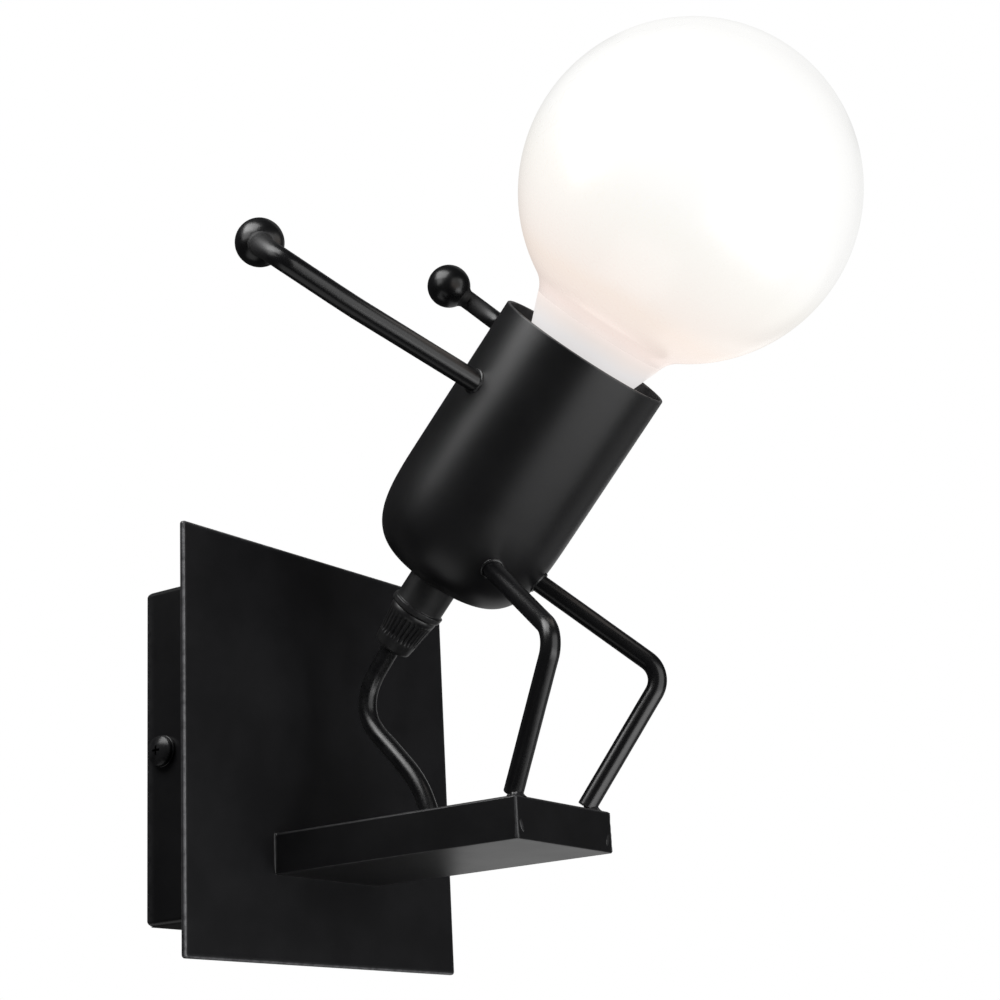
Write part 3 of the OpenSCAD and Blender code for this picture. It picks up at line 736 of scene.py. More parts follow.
def rod(name, pts, radii, r, start=None, end=None, material=COAT_ROD, replaces=(), sides=48, foot=None, seed=0.0):
    """A painted round rod. start and end are surfaces that it is welded to, or None for a free end."""
    s = Shape()
    line = rod_line(pts, radii)
    rough = lambda p, d: r * (1 + wobble(p + d * r, 0.21, 0.006) + wobble(p + d * r, 0.8, 0.0025))
    rings = tube_rings(line, rough, sides)
    if start:
        while min(start(q) for q in rings[0]) < 0.8:
            rings.pop(0), line.pop(0)
        d = (pts[0] - pts[1]).normalized()
        for depth in (-0.35, 0.45):
            rings.insert(0, [reach(q, d, start, depth) for q in rings[0]])
    if end:
        while min(end(q) for q in rings[-1]) < 0.8:
            rings.pop(), line.pop()
        d = (pts[-1] - pts[-2]).normalized()
        for depth in (-0.35, 0.45):
            rings.append([reach(q, d, end, depth) for q in rings[-1]])
    made = [s.ring(q, 0.0) for q in rings]
    if start:
        made.insert(0, [s.pt(sum(rings[0], Vector()) / sides)])
    if end:
        made.append([s.pt(sum(rings[-1], Vector()) / sides)])
    if not end:
        c, ring = line[-1], rings[-1]
        out = (line[-1] - line[-2]).normalized()
        lip = 0.35
        for i in range(1, 5):
            a = math.pi / 2 * i / 4
            made.append(s.ring([c + (q - c) * (1 - lip * (1 - math.cos(a)) / r) + out * (lip * math.sin(a) - lip) for q in ring], 0.5))
        made[-5] = s.ring([q - out * lip for q in ring], 0.2)
        made.append([s.pt(c)])
    s.strip(made)
    if start:
        bead(s, line[0], pts[0] - pts[1], r + 0.22, start, 0.52, seed)
    if end:
        weld(s, line[-1], pts[-1] - pts[-2], r + 0.02, end, 0.6, 0.7, seed + 2)
    if foot:
        puddle(s, *foot)
    return build(s, name, material, "fixture", replaces, sharp=50)


def puddle(s, x, y, z, r1, r2, h, seed):
    """A low, uneven mound of weld at a rod's foot."""
    segs, rings = 56, []
    for i in range(9):
        k = i / 8
        rr = r1 + (r2 - r1) * (1 - (1 - k) ** 2.2)
        zz = h * math.sin(k * math.pi / 2) ** 1.3
        ring = []
        for j in range(segs):
            a = TAU * j / segs
            d = Vector((math.cos(a), math.sin(a), 0))
            q = rr * (1 + 0.07 * noise.noise(d * 1.6 + Vector((seed, 0, k))) + 0.035 * math.sin(9 * a + seed))
            ring.append(s.pt((x + d.x * q, y + d.y * q, z + zz * (1 + 0.12 * noise.noise(d * 2 + Vector((0, seed, 0))))), 0.3))
        rings.append(ring)
    rings.insert(0, [s.pt((x, y, z))])
    rings.append([s.pt((x, y, z + h))])
    s.strip(rings)


# ---- cord: first, because its route is fixed ---------------------------------


def add_cord():
    route = [cup(0, 0, -24.6)] + [Vector((0, y, z)) for y, z in CORD]
    line = [cup(0, 0, -18), cup(0, 0, -21)] + smooth_line(route, 3)
    s = Shape()
    fat = lambda p, d: CORD_R * (1 + wobble(p + d * 2, 0.16, 0.012))
    tube(s, line, fat, 40)
    obj = build(s, "cord_free", SHEATH, "fixture", ("cord",), sharp=None, weighted=False)
    s = Shape()
    tube(s, [cup(0, 0, z) for z in (14, 6, -2, -10, -18)], CORD_R, 32)
    build(s, "cord_in_tube", SHEATH, "fixture", (), sharp=50)


add_cord()

# ---- wall side ----------------------------------------------------------------


def outline(w, h, r, n=6, cz=0.0):
    """A rounded rectangle in X and Z."""
    pts = []
    for k, (sx, sz) in enumerate(((1, 1), (-1, 1), (-1, -1), (1, -1))):
        for i in range(n + 1):
            a = math.pi / 2 * (k + i / n)
            pts.append((sx * (w / 2 - r) + r * math.cos(a), cz + sz * (h / 2 - r) + r * math.sin(a)))
    return pts


def wall_plate():
    s = Shape()

    def level(inset, y, wear=0.0):
        return s.ring([(x, y, z) for x, z in outline(PLATE_W - 2 * inset, PLATE_W - 2 * inset, max(1.0 - inset, 0.35), 6)], wear)

    front, back = 0.65, 0.35
    rings = [level(4, PLATE_B), level(back + 0.5, PLATE_B)]
    for i in range(5):
        a = math.pi / 2 * i / 4
        rings.append(level(back * (1 - math.sin(a)), PLATE_B - back * (1 - math.cos(a)), 0.2))
    # the front bevel's wear value peaks mid-round and, with the plate's pale edge colour, paints the highlight along
    # the edge
    for i in range(6):
        a = math.pi / 2 * i / 5
        rings.append(level(front * (1 - math.cos(a)), PLATE_F + front * (1 - math.sin(a)), 0.8 * math.sin(2 * a) + 0.1))
    rings += [level(front + 0.6, PLATE_F), level(4, PLATE_F)]
    s.strip(rings)
    s.cap(rings[0])
    s.cap(rings[-1])
    build(s, "wall_plate_sheet", COAT_PLATE, "fixture", ("wall_plate",), cut=[drill((0, -30, HOLE_Z), (0, -20, HOLE_Z), 4.6)])


def back_box():
    s = Shape()
    half = BOX_W / 2

    def notch(x, z):
        """How far the rim of the side walls draws back at a corner of the box."""
        d = min(half - abs(z - BOX_Z), 1.7) if abs(x) > half - 1.6 else 1.7
        return 1.7 - math.sqrt(max(0.0, 1.7 ** 2 - (1.7 - d) ** 2))

    def level(inset, y, wear=0.0, rim=False):
        r = max(1.6 - inset, 0.5)
        return s.ring([(x, y - (notch(x, z) if rim else 0), z) for x, z in outline(BOX_W - 2 * inset, BOX_W - 2 * inset, r, 8, BOX_Z)], wear)

    rings = [level(6, -BOX_D)]
    for i in range(6):
        a = math.pi / 2 * i / 5
        rings.append(level(1.3 * (1 - math.sin(a)), -BOX_D + 1.3 * (1 - math.cos(a)), 0.1))
    rings += [level(0, -12), level(0, -3), level(0, -0.35, 0.4, True)]
    for i in range(1, 4):
        a = math.pi / 2 * i / 3
        rings.append(level(0.35 * (1 - math.cos(a)), -0.35 * (1 - math.sin(a)), 0.7, True))
    for i in range(4):
        a = math.pi / 2 * i / 3
        rings.append(level(1 - 0.35 * (1 - math.sin(a)), -0.35 * (1 - math.cos(a)), 0.5, True))
    rings += [level(1, -3)]
    for i in range(5):
        a = math.pi / 2 * i / 4
        rings.append(level(1 + 0.7 * (1 - math.cos(a)), -BOX_D + 1 + 0.7 * (1 - math.sin(a))))
    rings += [level(6, -BOX_D + 1)]
    s.strip(rings)
    s.cap(rings[0])
    s.cap(rings[-1])
    holes = [drill((sx * 52, SIDE_Y, SIDE_Z), (sx * 43, SIDE_Y, SIDE_Z), 2.35) for sx in (-1, 1)]
    holes += [drill((x, -30, z), (x, -20, z), r) for x, z, r in ((0, HOLE_Z, 4.6), (-28, -12, 1.65), (16.8, 12, 1.3))]
    build(s, "back_box_pan", COAT, "fixture", ("back_box",), cut=holes)


def spot(s, c, w, h, high, seed):
    """A low dressed weld spot on a face that looks to -Y."""
    rings = [[s.pt(c + Vector((0, -high, 0)), 0.8)]]
    for i in range(1, 7):
        k = i / 6
        ring = []
        for j in range(28):
            a = TAU * j / 28
            q = 1 + 0.22 * noise.noise(Vector((math.cos(a) * 1.4, math.sin(a) * 1.4, seed)))
            ring.append(s.pt(c + Vector((w * k * q * math.cos(a) + 0.35 * h * k * math.sin(a) * seed, -high * (1 - k * k) + (0.08 if i == 6 else 0), h * k * q * math.sin(a))), 0.8 * (1 - k)))
        rings.append(ring)
    rings.append([s.pt(c + Vector((0, 0.3, 0)))])
    s.strip(rings)


def ledge():
    bm = bmesh.new()
    bmesh.ops.create_cube(bm, size=1)
    for v in bm.verts:
        v.co = Vector((v.co.x * LEDGE_W, (LEDGE_F + PLATE_F) / 2 + v.co.y * (PLATE_F - LEDGE_F), (LEDGE_Z0 + LEDGE_Z1) / 2 + v.co.z * (LEDGE_Z1 - LEDGE_Z0)))

    def edges(test):
        return [e for e in bm.edges if test((e.verts[0].co + e.verts[1].co) / 2)]

    top = lambda c: c.z > LEDGE_Z1 - 0.01 and c.y < PLATE_F - 1
    post = lambda c: abs(c.x) > LEDGE_W / 2 - 0.01 and c.y < LEDGE_F + 0.01 and abs(c.z - (LEDGE_Z0 + LEDGE_Z1) / 2) < 0.1
    foot = lambda c: c.z < LEDGE_Z0 + 0.01 and c.y < PLATE_F - 1
    bmesh.ops.bevel(bm, geom=edges(lambda c: top(c) or post(c)), offset=0.75, segments=5, profile=0.5, affect="EDGES")
    bmesh.ops.bevel(bm, geom=[e for e in bm.edges if all(v.co.z < LEDGE_Z0 + 0.01 for v in e.verts) and not all(v.co.y > PLATE_F - 0.01 for v in e.verts)],
                    offset=0.22, segments=3, profile=0.5, affect="EDGES")
    s = Shape()
    for v in bm.verts:
        c = v.co
        near = sum((abs(c.x) > LEDGE_W / 2 - 0.7, c.y < LEDGE_F + 0.7, c.z > LEDGE_Z1 - 0.7 or c.z < LEDGE_Z0 + 0.2))
        s.pt(c, 0.7 if near > 1 else 0.0)
    s.f = [tuple(v.index for v in f.verts) for f in bm.faces]
    bm.free()
    inner = hide_box(-LEDGE_W / 2 + LEDGE_T, LEDGE_W / 2 - LEDGE_T, LEDGE_F + LEDGE_T, -20, LEDGE_Z0 - 2, LEDGE_Z1 - LEDGE_T)
    build(s, "ledge_shell_sheet", COAT_LEDGE, "fixture", ("ledge_shell",), sharp=42,
          cut=[inner, drill((0, HOLE_Y, -30), (0, HOLE_Y, -20), 4.0)])

    # welded and dressed front corners, and the paint-filled seam at the plate
    s = Shape()
    for sx in (-1, 1):
        line = [Vector((sx * (LEDGE_W / 2 - 0.5), LEDGE_F + 0.5, LEDGE_Z0 + 0.5 + (LEDGE_H_ - 1.0) * i / 24)) for i in range(25)]
        fat = lambda p, d: 0.52 * (1 + wobble(p + d * 0.2, 0.9, 0.20) + 0.25 * math.exp(-((p.z - LEDGE_Z0) / 1.6) ** 2))
        tube(s, line, fat, 12, wear=0.9, edge=0.2)
        spot(s, Vector((sx * (LEDGE_W / 2 - 2.2), LEDGE_F, LEDGE_Z0 + 3.6)), 0.8, 1.9, 0.16, sx)
    seam = outline(LEDGE_W, LEDGE_Z1 - LEDGE_Z0, 0.75, 6, (LEDGE_Z0 + LEDGE_Z1) / 2)
    mid = Vector((0, PLATE_F, (LEDGE_Z0 + LEDGE_Z1) / 2))
    dense = []
    for (x0, z0), (x1, z1) in zip(seam, seam[1:] + seam[:1]):
        k = max(1, round(math.hypot(x1 - x0, z1 - z0) / 0.8))
        dense += [(x0 + (x1 - x0) * j / k, z0 + (z1 - z0) * j / k) for j in range(k)]
    rings, m = [], len(dense)
    for i, (x, z) in enumerate(dense):
        (xa, za), (xb, zb) = dense[i - 1], dense[(i + 1) % m]
        t = Vector((xb - xa, 0, zb - za)).normalized()
        out = Vector((t.z, 0, -t.x))
        p = Vector((x, PLATE_F, z))
        a = (0.60 if z > LEDGE_Z0 + 0.9 else 0.30) * (1 + 0.25 * noise.noise(p * 0.35))
        prof = [(-0.3, 0.15), (a, 0.06), (a * 0.97, -0.04), (a * 0.52, -a * 0.20), (a * 0.22, -a * 0.50), (0.03, -a * 0.98), (-0.08, -a), (-0.3, -a * 0.6)]
        rings.append(s.ring([p + out * q + Vector((0, h, 0)) for q, h in prof], 0.05))
    s.strip(rings, True)
    build(s, "ledge_seams", COAT, "fixture", (), sharp=60, weighted=False)

    # bottom sheet, let in flush between the sides
    s = Shape()

    def level(inset, z, wear=0.0):
        x, y0, y1 = LEDGE_W / 2 - LEDGE_T - inset - 0.03, LEDGE_F + LEDGE_T + inset + 0.03, PLATE_F - inset
        return s.ring([(x, y0, z), (x, y1, z), (-x, y1, z), (-x, y0, z)], wear)

    rings = [level(2, LEDGE_Z0), level(0.12, LEDGE_Z0, 0.4), level(0.035, LEDGE_Z0 + 0.035), level(0, LEDGE_Z0 + 0.12), level(0, LEDGE_Z0 + LEDGE_T), level(2, LEDGE_Z0 + LEDGE_T)]
    s.strip(rings)
    s.cap(rings[0])
    s.cap(rings[-1])
    build(s, "ledge_bottom_sheet", COAT, "fixture", ("ledge_bottom",), sharp=50)


LEDGE_H_ = LEDGE_Z1 - LEDGE_Z0
wall_plate()
back_box()
ledge()

# ---- figure -------------------------------------------------------------------


def cup_body():
    s = Shape()

    def side(r, h, z0, lip):
        pts = []
        for i in range(57):
            t = math.radians(87 - 1.5 * i) if i < 57 else 0
            x, y = r * math.cos(t) ** (2 / CUP_E), h - h * max(math.sin(t), 0) ** (2 / CUP_E)
            if x > 11:
                pts.append((x, z0 + y))
        return pts

    outer = [(5.1, 0.0), (9.5, 0.0)] + side(CUP_R, CUP_H, 0, 0)
    steps = [CUP_H + (CUP_L - 0.5 - CUP_H) * i / 10 for i in range(11)]
    outer += [(CUP_R, z) for z in steps]
    rim = [(CUP_R - 0.45 * (1 - math.cos(math.pi / 2 * i / 4)), CUP_L - 0.5 + 0.45 * math.sin(math.pi / 2 * i / 4), 0.9) for i in range(1, 5)]
    rim += [(CUP_R - 1 + 0.4 * (1 - math.sin(math.pi / 2 * i / 4)), CUP_L - 0.45 + 0.4 * math.cos(math.pi / 2 * i / 4), 0.8) for i in range(0, 5)]
    inner = [(CUP_R - CUP_T, z) for z in steps[::-1]][1:] + side(CUP_R - CUP_T, CUP_H - CUP_T, CUP_T, 0)[::-1] + [(9.5, CUP_T), (5.1, CUP_T)]
    lathe(s, outer + rim + inner, segs=144)
    build(s, "cup_spun", COAT_CUP, "fixture", ("cup",), sharp=50)


def ball(name, c, towards, node):
    """A turned ball, turned about the line towards its rod."""
    s = Shape()
    axis = (Vector(towards) - c).normalized()
    x, y = sides_of(axis)
    place = lambda a, b, z: c + x * a + y * b + axis * z
    prof = []
    for i in range(49):
        t = math.pi * i / 48
        prof.append((BALL_R * math.sin(t), -BALL_R * math.cos(t)))
    prof[0], prof[-1] = (0.0, -BALL_R), (0.0, BALL_R)
    lathe(s, prof, place, 72, closed=False, shape=lambda r, t, z: r * (1 + 0.002 * math.sin(3 * t) + 0.0015 * noise.noise(Vector((math.cos(t), math.sin(t), z * 0.2)))))
    build(s, name, COAT_BALL, "fixture", (node,), sharp=None, weighted=False)


cup_body()
rod("arm_left_rod", ARM_L, [200, 7, 7], ARM_R, off_cup, off_ball(ARM_L[-1]), COAT_ARM_L, replaces=("arm_left",), seed=0.4)
rod("arm_right_rod", ARM_R_, [7, 7], ARM_R, off_cup, off_ball(ARM_R_[-1]), COAT_ARM_R, replaces=("arm_right",), seed=1.9)
ball("hand_ball_left_turned", ARM_L[-1], ARM_L[-2], "hand_ball_left")
ball("hand_ball_right_turned", ARM_R_[-1], ARM_R_[-2], "hand_ball_right")
for label, pts, sign, seed in (("left", LEG_L, -1, 3.1), ("right", LEG_RR, 1, 5.2)):
    rod("leg_%s_rod" % label, pts, [7], LEG_R, off_cup, None, replaces=("leg_" + label,), seed=seed,
        foot=(pts[2].x + sign * 0.5, pts[2].y - 1.1, LEDGE_Z1, 3.0, 1.9, 1.5, seed))

# ---- cord gland ---------------------------------------------------------------


def gland():
    s = Shape()
    prof = rounded([(5.05, 0), (7.3, 0), (7.3, -9), (7.9, -9), (7.9, -11), (5.2, -11), (5.2, -18), (4.2, -18), (4.2, -8), (5.05, -8)],
                   [0.1, 0.3, 0.25, 0.33, 0.6, 0.2, 0.3, 0.2, 0, 0], 0.5)
    lathe(s, prof, segs=96, shape=lambda r, t, z: r * (1 + (0.012 * noise.noise(Vector((math.cos(t) * 2.2, math.sin(t) * 2.2, z * 0.5))) if r > 7 else 0)
                                                                 + (0.022 * noise.noise(Vector((math.cos(t) * 7, math.sin(t) * 7, z))) if r > 7.5 else 0)))
    build(s, "gland_collar", GLAND, "fixture", ("gland_body",), sharp=50)

    s = Shape()
    ribs = 30

    def ribbed(r, t, z):
        if r < 5.5 or z > -13 or z < -20.6:
            return r
        fade = min(1.0, (-13 - z) / 0.7, (z + 20.6) / 1.6)
        k = (t * ribs / TAU) % 1.0
        groove = max(0.0, 1 - (abs(k - 0.5) / 0.32) ** 2.4)
        return r - 0.5 * fade * groove

    prof = corner((5.3, -11.1), (7.1, -11.1), (7.2, -12), 0.25, 3, 0.6) + [(7.2, -12, 0.3), (7.16, -12.5, 0.3)]
    prof += [(7.1 - 1.5 * (k / 30), -12.7 - 10.7 * (k / 30), 0.35) for k in range(31)]
    prof += corner((5.6, -23.4), (5.2, -24), (2.9, -24), 0.2, 3, 0.4)
    prof += [(2.95, -24), (2.9, -23.9), (2.9, -23), (4.3, -18.6), (5.3, -18.6), (5.3, -11.1)]
    lathe(s, prof, segs=ribs * 12, shape=ribbed)
    build(s, "gland_nut_ribbed", GLAND, "fixture", ("gland_nut",), sharp=50)


gland()

# ---- bulb and lamp holder -------------------------------------------------------


def thread(rm, am):
    return lambda z, t: rm + am * math.cos(TAU * z / PITCH - t)


def neck_blend(rho=8.0, steps=16):
    """Points of the hollow curve that leads from the neck's cone into the globe."""
    p0, d = Vector((20.5, 86.0)), Vector((0.378, 1.0)).normalized()
    n, mid = Vector((d.y, -d.x)), Vector((0, GLOBE_Z))
    lo, hi = -6.0, 6.0
    for _ in range(40):
        k = (lo + hi) / 2
        if (p0 + d * k + n * rho - mid).length > GLOBE_R + rho:
            lo = k
        else:
            hi = k
    c = p0 + d * lo + n * rho
    a, b = -n * rho, (mid - c).normalized() * rho
    return [c + (a * (1 - i / steps) + b * (i / steps)).normalized() * rho for i in range(steps + 1)]


def bulb():
    s = Shape()
    prof = [(11.9, 67.5), (13.2, 67.5, 0.2), (13.5, 67.8, 0.2)]
    prof += [(13.5 + 7 * (i / 20), 67.6 + 18.3 * (i / 20)) for i in range(1, 20)]
    prof += [(20.46, 85.93), (20.46, 85.98), (20.42, 86.0), (18.4, 86), (12.7, 69.5), (12.7, 69), (11.9, 69)]
    lathe(s, prof, segs=144)
    build(s, "bulb_neck", NECK, "bulb", ("bulb_base",), sharp=45)

    s = Shape()
    blend = neck_blend()
    prof = [(20.44, 86.0), (20.48, 86.02), (20.53, 86.1)] + [tuple(q) for q in blend if q.y > 86.2]
    low = math.acos((blend[-1].y - GLOBE_Z) / GLOBE_R)
    prof += [(GLOBE_R * math.sin(low * (1 - i / 72)), GLOBE_Z + GLOBE_R * math.cos(low * (1 - i / 72))) for i in range(1, 72)]
    prof.append((0.0, GLOBE_Z + GLOBE_R))
    r = GLOBE_R - 1.2
    low = math.acos((91.2 - GLOBE_Z) / r)
    prof.append((0.0, GLOBE_Z + r))
    prof += [(r * math.sin(low * i / 48), GLOBE_Z + r * math.cos(low * i / 48)) for i in range(1, 49)]
    prof += [(21.6, 90), (20.7, 89), (20.1, 88), (19.6, 87), (19.2, 86)]
    lathe(s, prof, segs=144)
    build(s, "bulb_globe_opal", OPAL, "bulb", ("bulb_globe",), sharp=50, weighted=False)

    s = Shape()
    wave = thread(12.58, 0.52)
    rows = []
    for i in range(87):
        z = 46.5 + 18.6 * i / 86
        fade = min(1.0, (z - 46.5) / 1.2, (65.1 - z) / 1.0)
        rows.append(s.ring([cup(*(lambda q: (q * math.cos(t), q * math.sin(t), z))(12.06 + (wave(z, t) - 12.06) * max(fade, 0))) for t in (TAU * j / 96 for j in range(96))]))
    turn = lambda r, z, w=0.0: s.ring([cup(r * math.cos(TAU * j / 96), r * math.sin(TAU * j / 96), z) for j in range(96)], w)
    rows += [turn(12.2, 65.2), turn(13.1, 65.35, 0.4), turn(13.3, 65.6, 0.4), turn(13.3, 67.1, 0.4), turn(13.15, 67.45, 0.3), turn(12.6, 67.5), turn(11.4, 67.5), turn(11.4, 46.5)]
    s.strip(rows, True)
    build(s, "bulb_cap_threaded", CAPMETAL, "bulb", ("bulb_cap",), sharp=50)

    s = Shape()
    wave = thread(12.98, 0.52)
    rows = []
    for i in range(97):
        z = 44 + 20.6 * i / 96
        rows.append(s.ring([cup(wave(z, t) * math.cos(t), wave(z, t) * math.sin(t), z) for t in (TAU * j / 96 for j in range(96))]))
    rows += [turn_of(s, r, z) for r, z in ((13.9, 64.75), (14.3, 64.6), (14.4, 64.3), (14.4, 44.2), (14.2, 44))]
    s.strip(rows, True)
    build(s, "socket_shell_rolled", BRASS, "fixture", ("socket_shell",), sharp=50)


def turn_of(s, r, z, w=0.0, n=96):
    return s.ring([cup(r * math.cos(TAU * j / n), r * math.sin(TAU * j / n), z) for j in range(n)], w)


def holder():
    s = Shape()
    prof = rounded([(5.05, 7), (9, 7), (9, 11), (16.5, 14), (18.8, 20), (18.8, 36), (17, 36), (17, 20.6), (15.4, 16), (9, 14), (5.05, 14)],
                   [0.2, 0.6, 0.8, 1.5, 2.5, 0.3, 0.2, 1.0, 0.8, 0.5, 0.2], 0.3)
    lathe(s, prof, segs=96, shape=lambda r, t, z: r - (0.35 * max(0, math.cos(t * 24)) ** 2 if r > 18.75 and 22 < z < 34 else 0))
    build(s, "holder_cap_moulded", HOLDER, "fixture", ("holder_cap",), sharp=50)


bulb()
holder()

# ---- wires ----------------------------------------------------------------------


def wires():
    for name, sx, material, slot in (("wire_live", 1, BROWN, "wire_brown"), ("wire_neutral", -1, BLUE, "wire_blue")):
        s = Shape()
        for pts in ([cup(sx * x, y, z) for x, y, z in WIRE_CUP], [Vector((sx * x, y, z)) for x, y, z in WIRE_BASE]):
            tube(s, smooth_line(pts, 8), lambda p, d: 1.0 + wobble(p + d, 0.5, 0.02), 18, edge=0.0)
        build(s, name + "_core", material, "fixture", (name,), sharp=60, weighted=False)
    s = Shape()
    line = smooth_line(WIRE_EARTH, 8)
    sides = 24
    rings = tube_rings(line, 1.0, sides)
    made = [[s.pt(q, 1.0 if j % 12 in (0, 1, 2, 3) else 0.0) for j, q in enumerate(r)] for r in rings]
    made = [[s.pt(line[0])]] + made + [[s.pt(line[-1])]]
    s.strip(made)
    build(s, "earth_lead_core", GREEN, "fixture", ("earth_lead",), sharp=60, weighted=False)


wires()

# ---- side screws ------------------------------------------------------------------


def side_screw(sx, label):
    """Domed cross-head screw with a cut thread."""
    x0 = sx * (BOX_W / 2 + 0.95)
    place = lambda a, b, z: Vector((x0 + sx * z, SIDE_Y + a, SIDE_Z + sx * b))
    s = Shape()
    prof = [(0.0, 2.4)]
    for i in range(1, 15):
        r = 4.0 * i / 14
        prof.append((r, 2.4 - 7.2 + math.sqrt(7.2 ** 2 - r * r), 0.25))
    top = prof[-1][1]
    prof += [(4.14, top - 0.12, 0.5), (4.2, top - 0.3, 0.4), (4.2, 0.25), (4.1, 0.06), (3.9, 0.0), (2.05, 0.0)]
    lathe(s, prof + [(1.95, -0.3), (1.95, -1.4)], place, 72, closed=False)
    base = len(s.v)
    rows = []
    for i in range(111):
        z = -1.4 - 9.2 * i / 110
        fade = min(1.0, i / 10, (110 - i) / 14)
        ring = []
        for j in range(36):
            t = TAU * j / 36
            k = ((z / 0.7 + sx * t / TAU) % 1.0)
            cut = 0.34 * (1 - abs(2 * k - 1)) * fade
            ring.append(s.pt(place((1.95 - cut) * math.cos(t), (1.95 - cut) * math.sin(t), z), 0.2))
        rows.append(ring)
    rows += [s.ring([place(1.5 * math.cos(TAU * j / 36), 1.5 * math.sin(TAU * j / 36), -10.95) for j in range(36)]), [s.pt(place(0, 0, -11))]]
    s.strip([[s.pt(place(0, 0, -1.3))]] + rows)
    cutters = []
    for a in (0, 90):
        c, q = math.cos(math.radians(a)), math.sin(math.radians(a))
        k = Shape()
        lo = k.ring([place(u * c - v * q, u * q + v * c, 1.1) for u, v in ((-0.9, -0.2), (0.9, -0.2), (0.9, 0.2), (-0.9, 0.2))])
        hi = k.ring([place(u * c - v * q, u * q + v * c, 3.2) for u, v in ((-1.7, -0.34), (1.7, -0.34), (1.7, 0.34), (-1.7, 0.34))])
        k.bridge(lo, hi)
        k.cap(lo)
        k.cap(hi)
        cutters.append(k)
    build(s, "side_screw_%s_head" % label, SCREW, label + "_screw", ("side_screw_" + label,), sharp=40, cut=cutters)

    s = Shape()
    x1 = sx * (BOX_W / 2 + 0.1)
    place1 = lambda a, b, z: Vector((x1 + sx * z, SIDE_Y + a, SIDE_Z + sx * b))
    lathe(s, rounded([(2.08, 0), (4.5, 0), (4.5, 0.8), (2.08, 0.8)], [0.08, 0.18, 0.28, 0.12], 0.1), place1, 72)
    build(s, "side_washer_%s_pressed" % label, SCREW, label + "_washer", ("side_washer_" + label,), sharp=50)


side_screw(-1, "left")
side_screw(1, "right")

# ---- carried-over pieces: finish and softened edges ---------------------------------

CARRIED = {
    "wall_bracket": (ZINC, 0.25), "terminal_block": (WHITE_BLOCK, 0.30), "terminal_screws": (BRASS, 0.12), "block_screw": (ZINC, 0.12),
    "earth_screw": (BRASS, 0.15), "earth_lug": (ZINC, 0.12), "plate_bush": (RUBBER, 0.20), "ledge_grommet": (RUBBER, 0.20),
    "nipple": (ZINC, 0.15), "nipple_washer": (ZINC, 0.12), "nipple_nut": (ZINC, 0.25), "gland_insert": (RUBBER, 0.15),
    "holder_body": (HOLDER, 0.30), "contact_leaf": (BRASS, 0.06), "holder_screws": (BRASS, 0.12), "bulb_contact": (CAPMETAL, 0.12),
    "bulb_insulator": (INSULATOR, 0.30), "led_board": (BOARD_WHITE, 0.12), "led_chips": (CHIP, 0.08), "driver_board": (BOARD_GREEN, 0.08),
    "driver_capacitor": (SLEEVE, 0.4),
}
for name, (material, width) in CARRIED.items():
    obj = nodes[name]
    while len(obj.material_slots) > 1:
        obj.data.materials.pop()
    if obj.material_slots:
        obj.material_slots[0].link = "OBJECT"
        obj.material_slots[0].material = material
    else:
        obj.data.materials.append(material)
    b = obj.modifiers.new("edges", "BEVEL")
    b.width, b.segments, b.limit_method, b.angle_limit = width * MM, 2, "ANGLE", math.radians(50)
    b.use_clamp_overlap = True
    b.harden_normals = False

# ---- floor, light, background -------------------------------------------------------


def soft_light(name, at, aim, w, h, power, tint=(1, 1, 1)):
    data = bpy.data.lights.new(name, "AREA")
    data.shape, data.size, data.size_y, data.energy, data.color = "RECTANGLE", w, h, power, tint
    obj = bpy.data.objects.new(name, data)
    scene.collection.objects.link(obj)
    obj.matrix_world = (Vector(aim) - Vector(at)).to_track_quat("-Z", "Y").to_matrix().to_4x4()
    obj.location = at
    obj.visible_camera = False
    return obj


# far soft panels: bearing from the front and height in degrees, width, height in metres, brightness
PANELS = ((-100, 52, 1.12, 0.78, 5.4), (-5, -3, 1.35, 1.35, 1.8), (75, -18, 0.62, 0.62, 0.28), (100, 17, 0.62, 0.62, 0.2), (100, 50, 0.62, 0.62, 0.2), (-140, -56, 1.2, 0.9, 0.6))
# close soft panels: place, aim, width, height in metres, brightness
CLOSE = (((0.42, 0.03, -0.08), (0.42, -1, -0.08), 0.56, 0.50, 0.45), ((-0.235, 0.0, 0.225), (-0.02, -0.11, 0.09), 0.15, 0.18, 2.4),
         ((-0.02, -0.60, -0.30), (-0.02, -0.10, 0.10), 0.85, 0.32, 1.85))


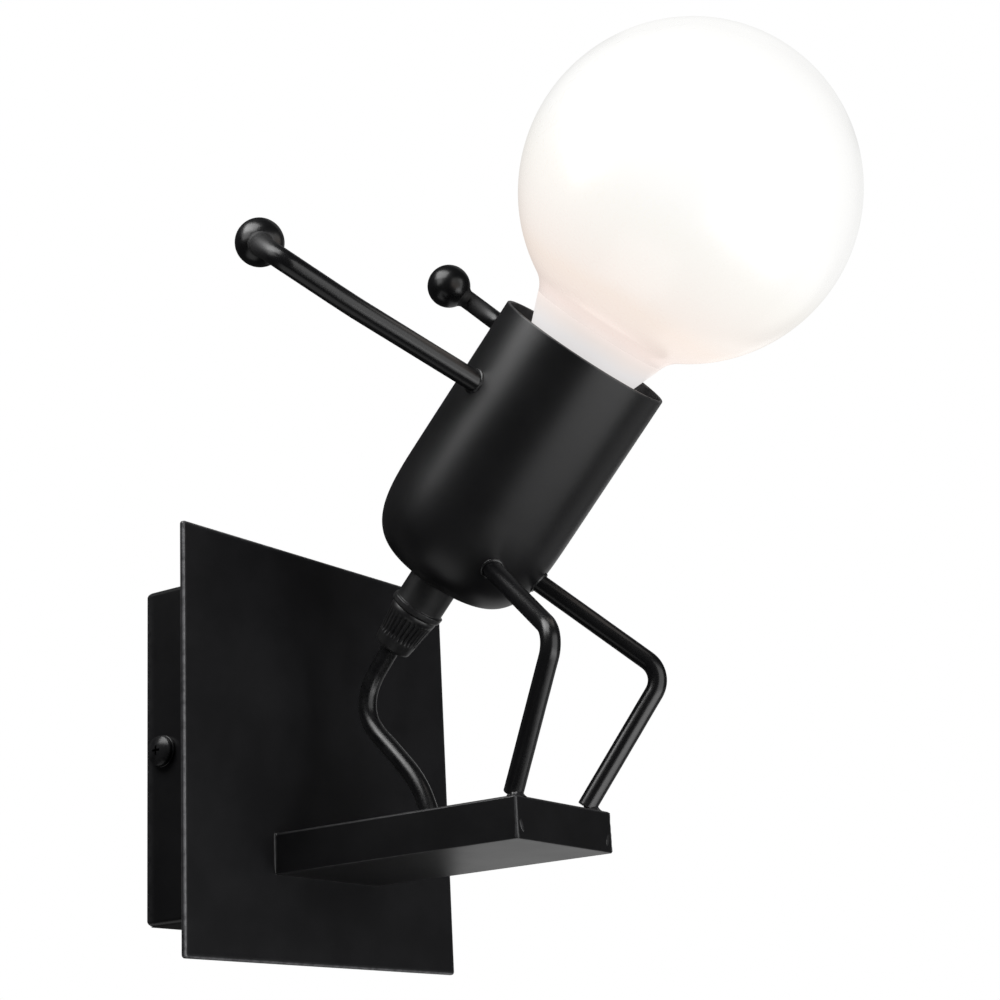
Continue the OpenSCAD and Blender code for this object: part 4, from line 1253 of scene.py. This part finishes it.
def studio():
    f = Finish("floor_pale", (0.03, 0.03, 0.03), 0.8, Specular_IOR_Level=0.0)
    shade = f.mix(f.span(f.noise(3, 3, 0.5), 0.3, 0.7, 0, 1), (0.815, 0.815, 0.815), (0.825, 0.825, 0.825))
    f.link(shade, f.b.inputs["Emission Color"])
    f.b.inputs["Emission Strength"].default_value = 1.0
    mesh = bpy.data.meshes.new("floor")
    k, z = 6.0, -0.9
    mesh.from_pydata([(-k, -k, z), (k, -k, z), (k, k, z), (-k, k, z)], [], [(0, 1, 2, 3)])
    mesh.materials.append(f.m)
    floor = bpy.data.objects.new("floor", mesh)
    scene.collection.objects.link(floor)
    floor.visible_diffuse = False
    floor.visible_glossy = False
    floor.visible_shadow = False

    w = bpy.data.worlds.new("studio")
    scene.world = w
    w.use_nodes = True
    t = w.node_tree
    t.nodes.clear()
    out, mix = t.nodes.new("ShaderNodeOutputWorld"), t.nodes.new("ShaderNodeMixShader")
    dim, white, path = t.nodes.new("ShaderNodeBackground"), t.nodes.new("ShaderNodeBackground"), t.nodes.new("ShaderNodeLightPath")
    dim.inputs["Color"].default_value, dim.inputs["Strength"].default_value = (1, 1, 1, 1), 0.03
    white.inputs["Color"].default_value, white.inputs["Strength"].default_value = (1, 1, 1, 1), 1.0
    t.links.new(path.outputs["Is Camera Ray"], mix.inputs[0])
    t.links.new(dim.outputs[0], mix.inputs[1])
    t.links.new(white.outputs[0], mix.inputs[2])
    t.links.new(mix.outputs[0], out.inputs[0])

    aim, away = Vector((0, -0.08, 0.03)), 1.2
    for i, (bearing, height, wide, high, bright) in enumerate(PANELS):
        a, e = math.radians(bearing), math.radians(height)
        d = Vector((math.sin(a) * math.cos(e), -math.cos(a) * math.cos(e), math.sin(e)))
        soft_light("panel_%02d" % i, aim + d * away, aim, wide, high, math.pi * wide * high * bright)
    for i, (at, to, wide, high, bright) in enumerate(CLOSE):
        soft_light("close_panel_%02d" % i, Vector(at), Vector(to), wide, high, math.pi * wide * high * bright)


studio()
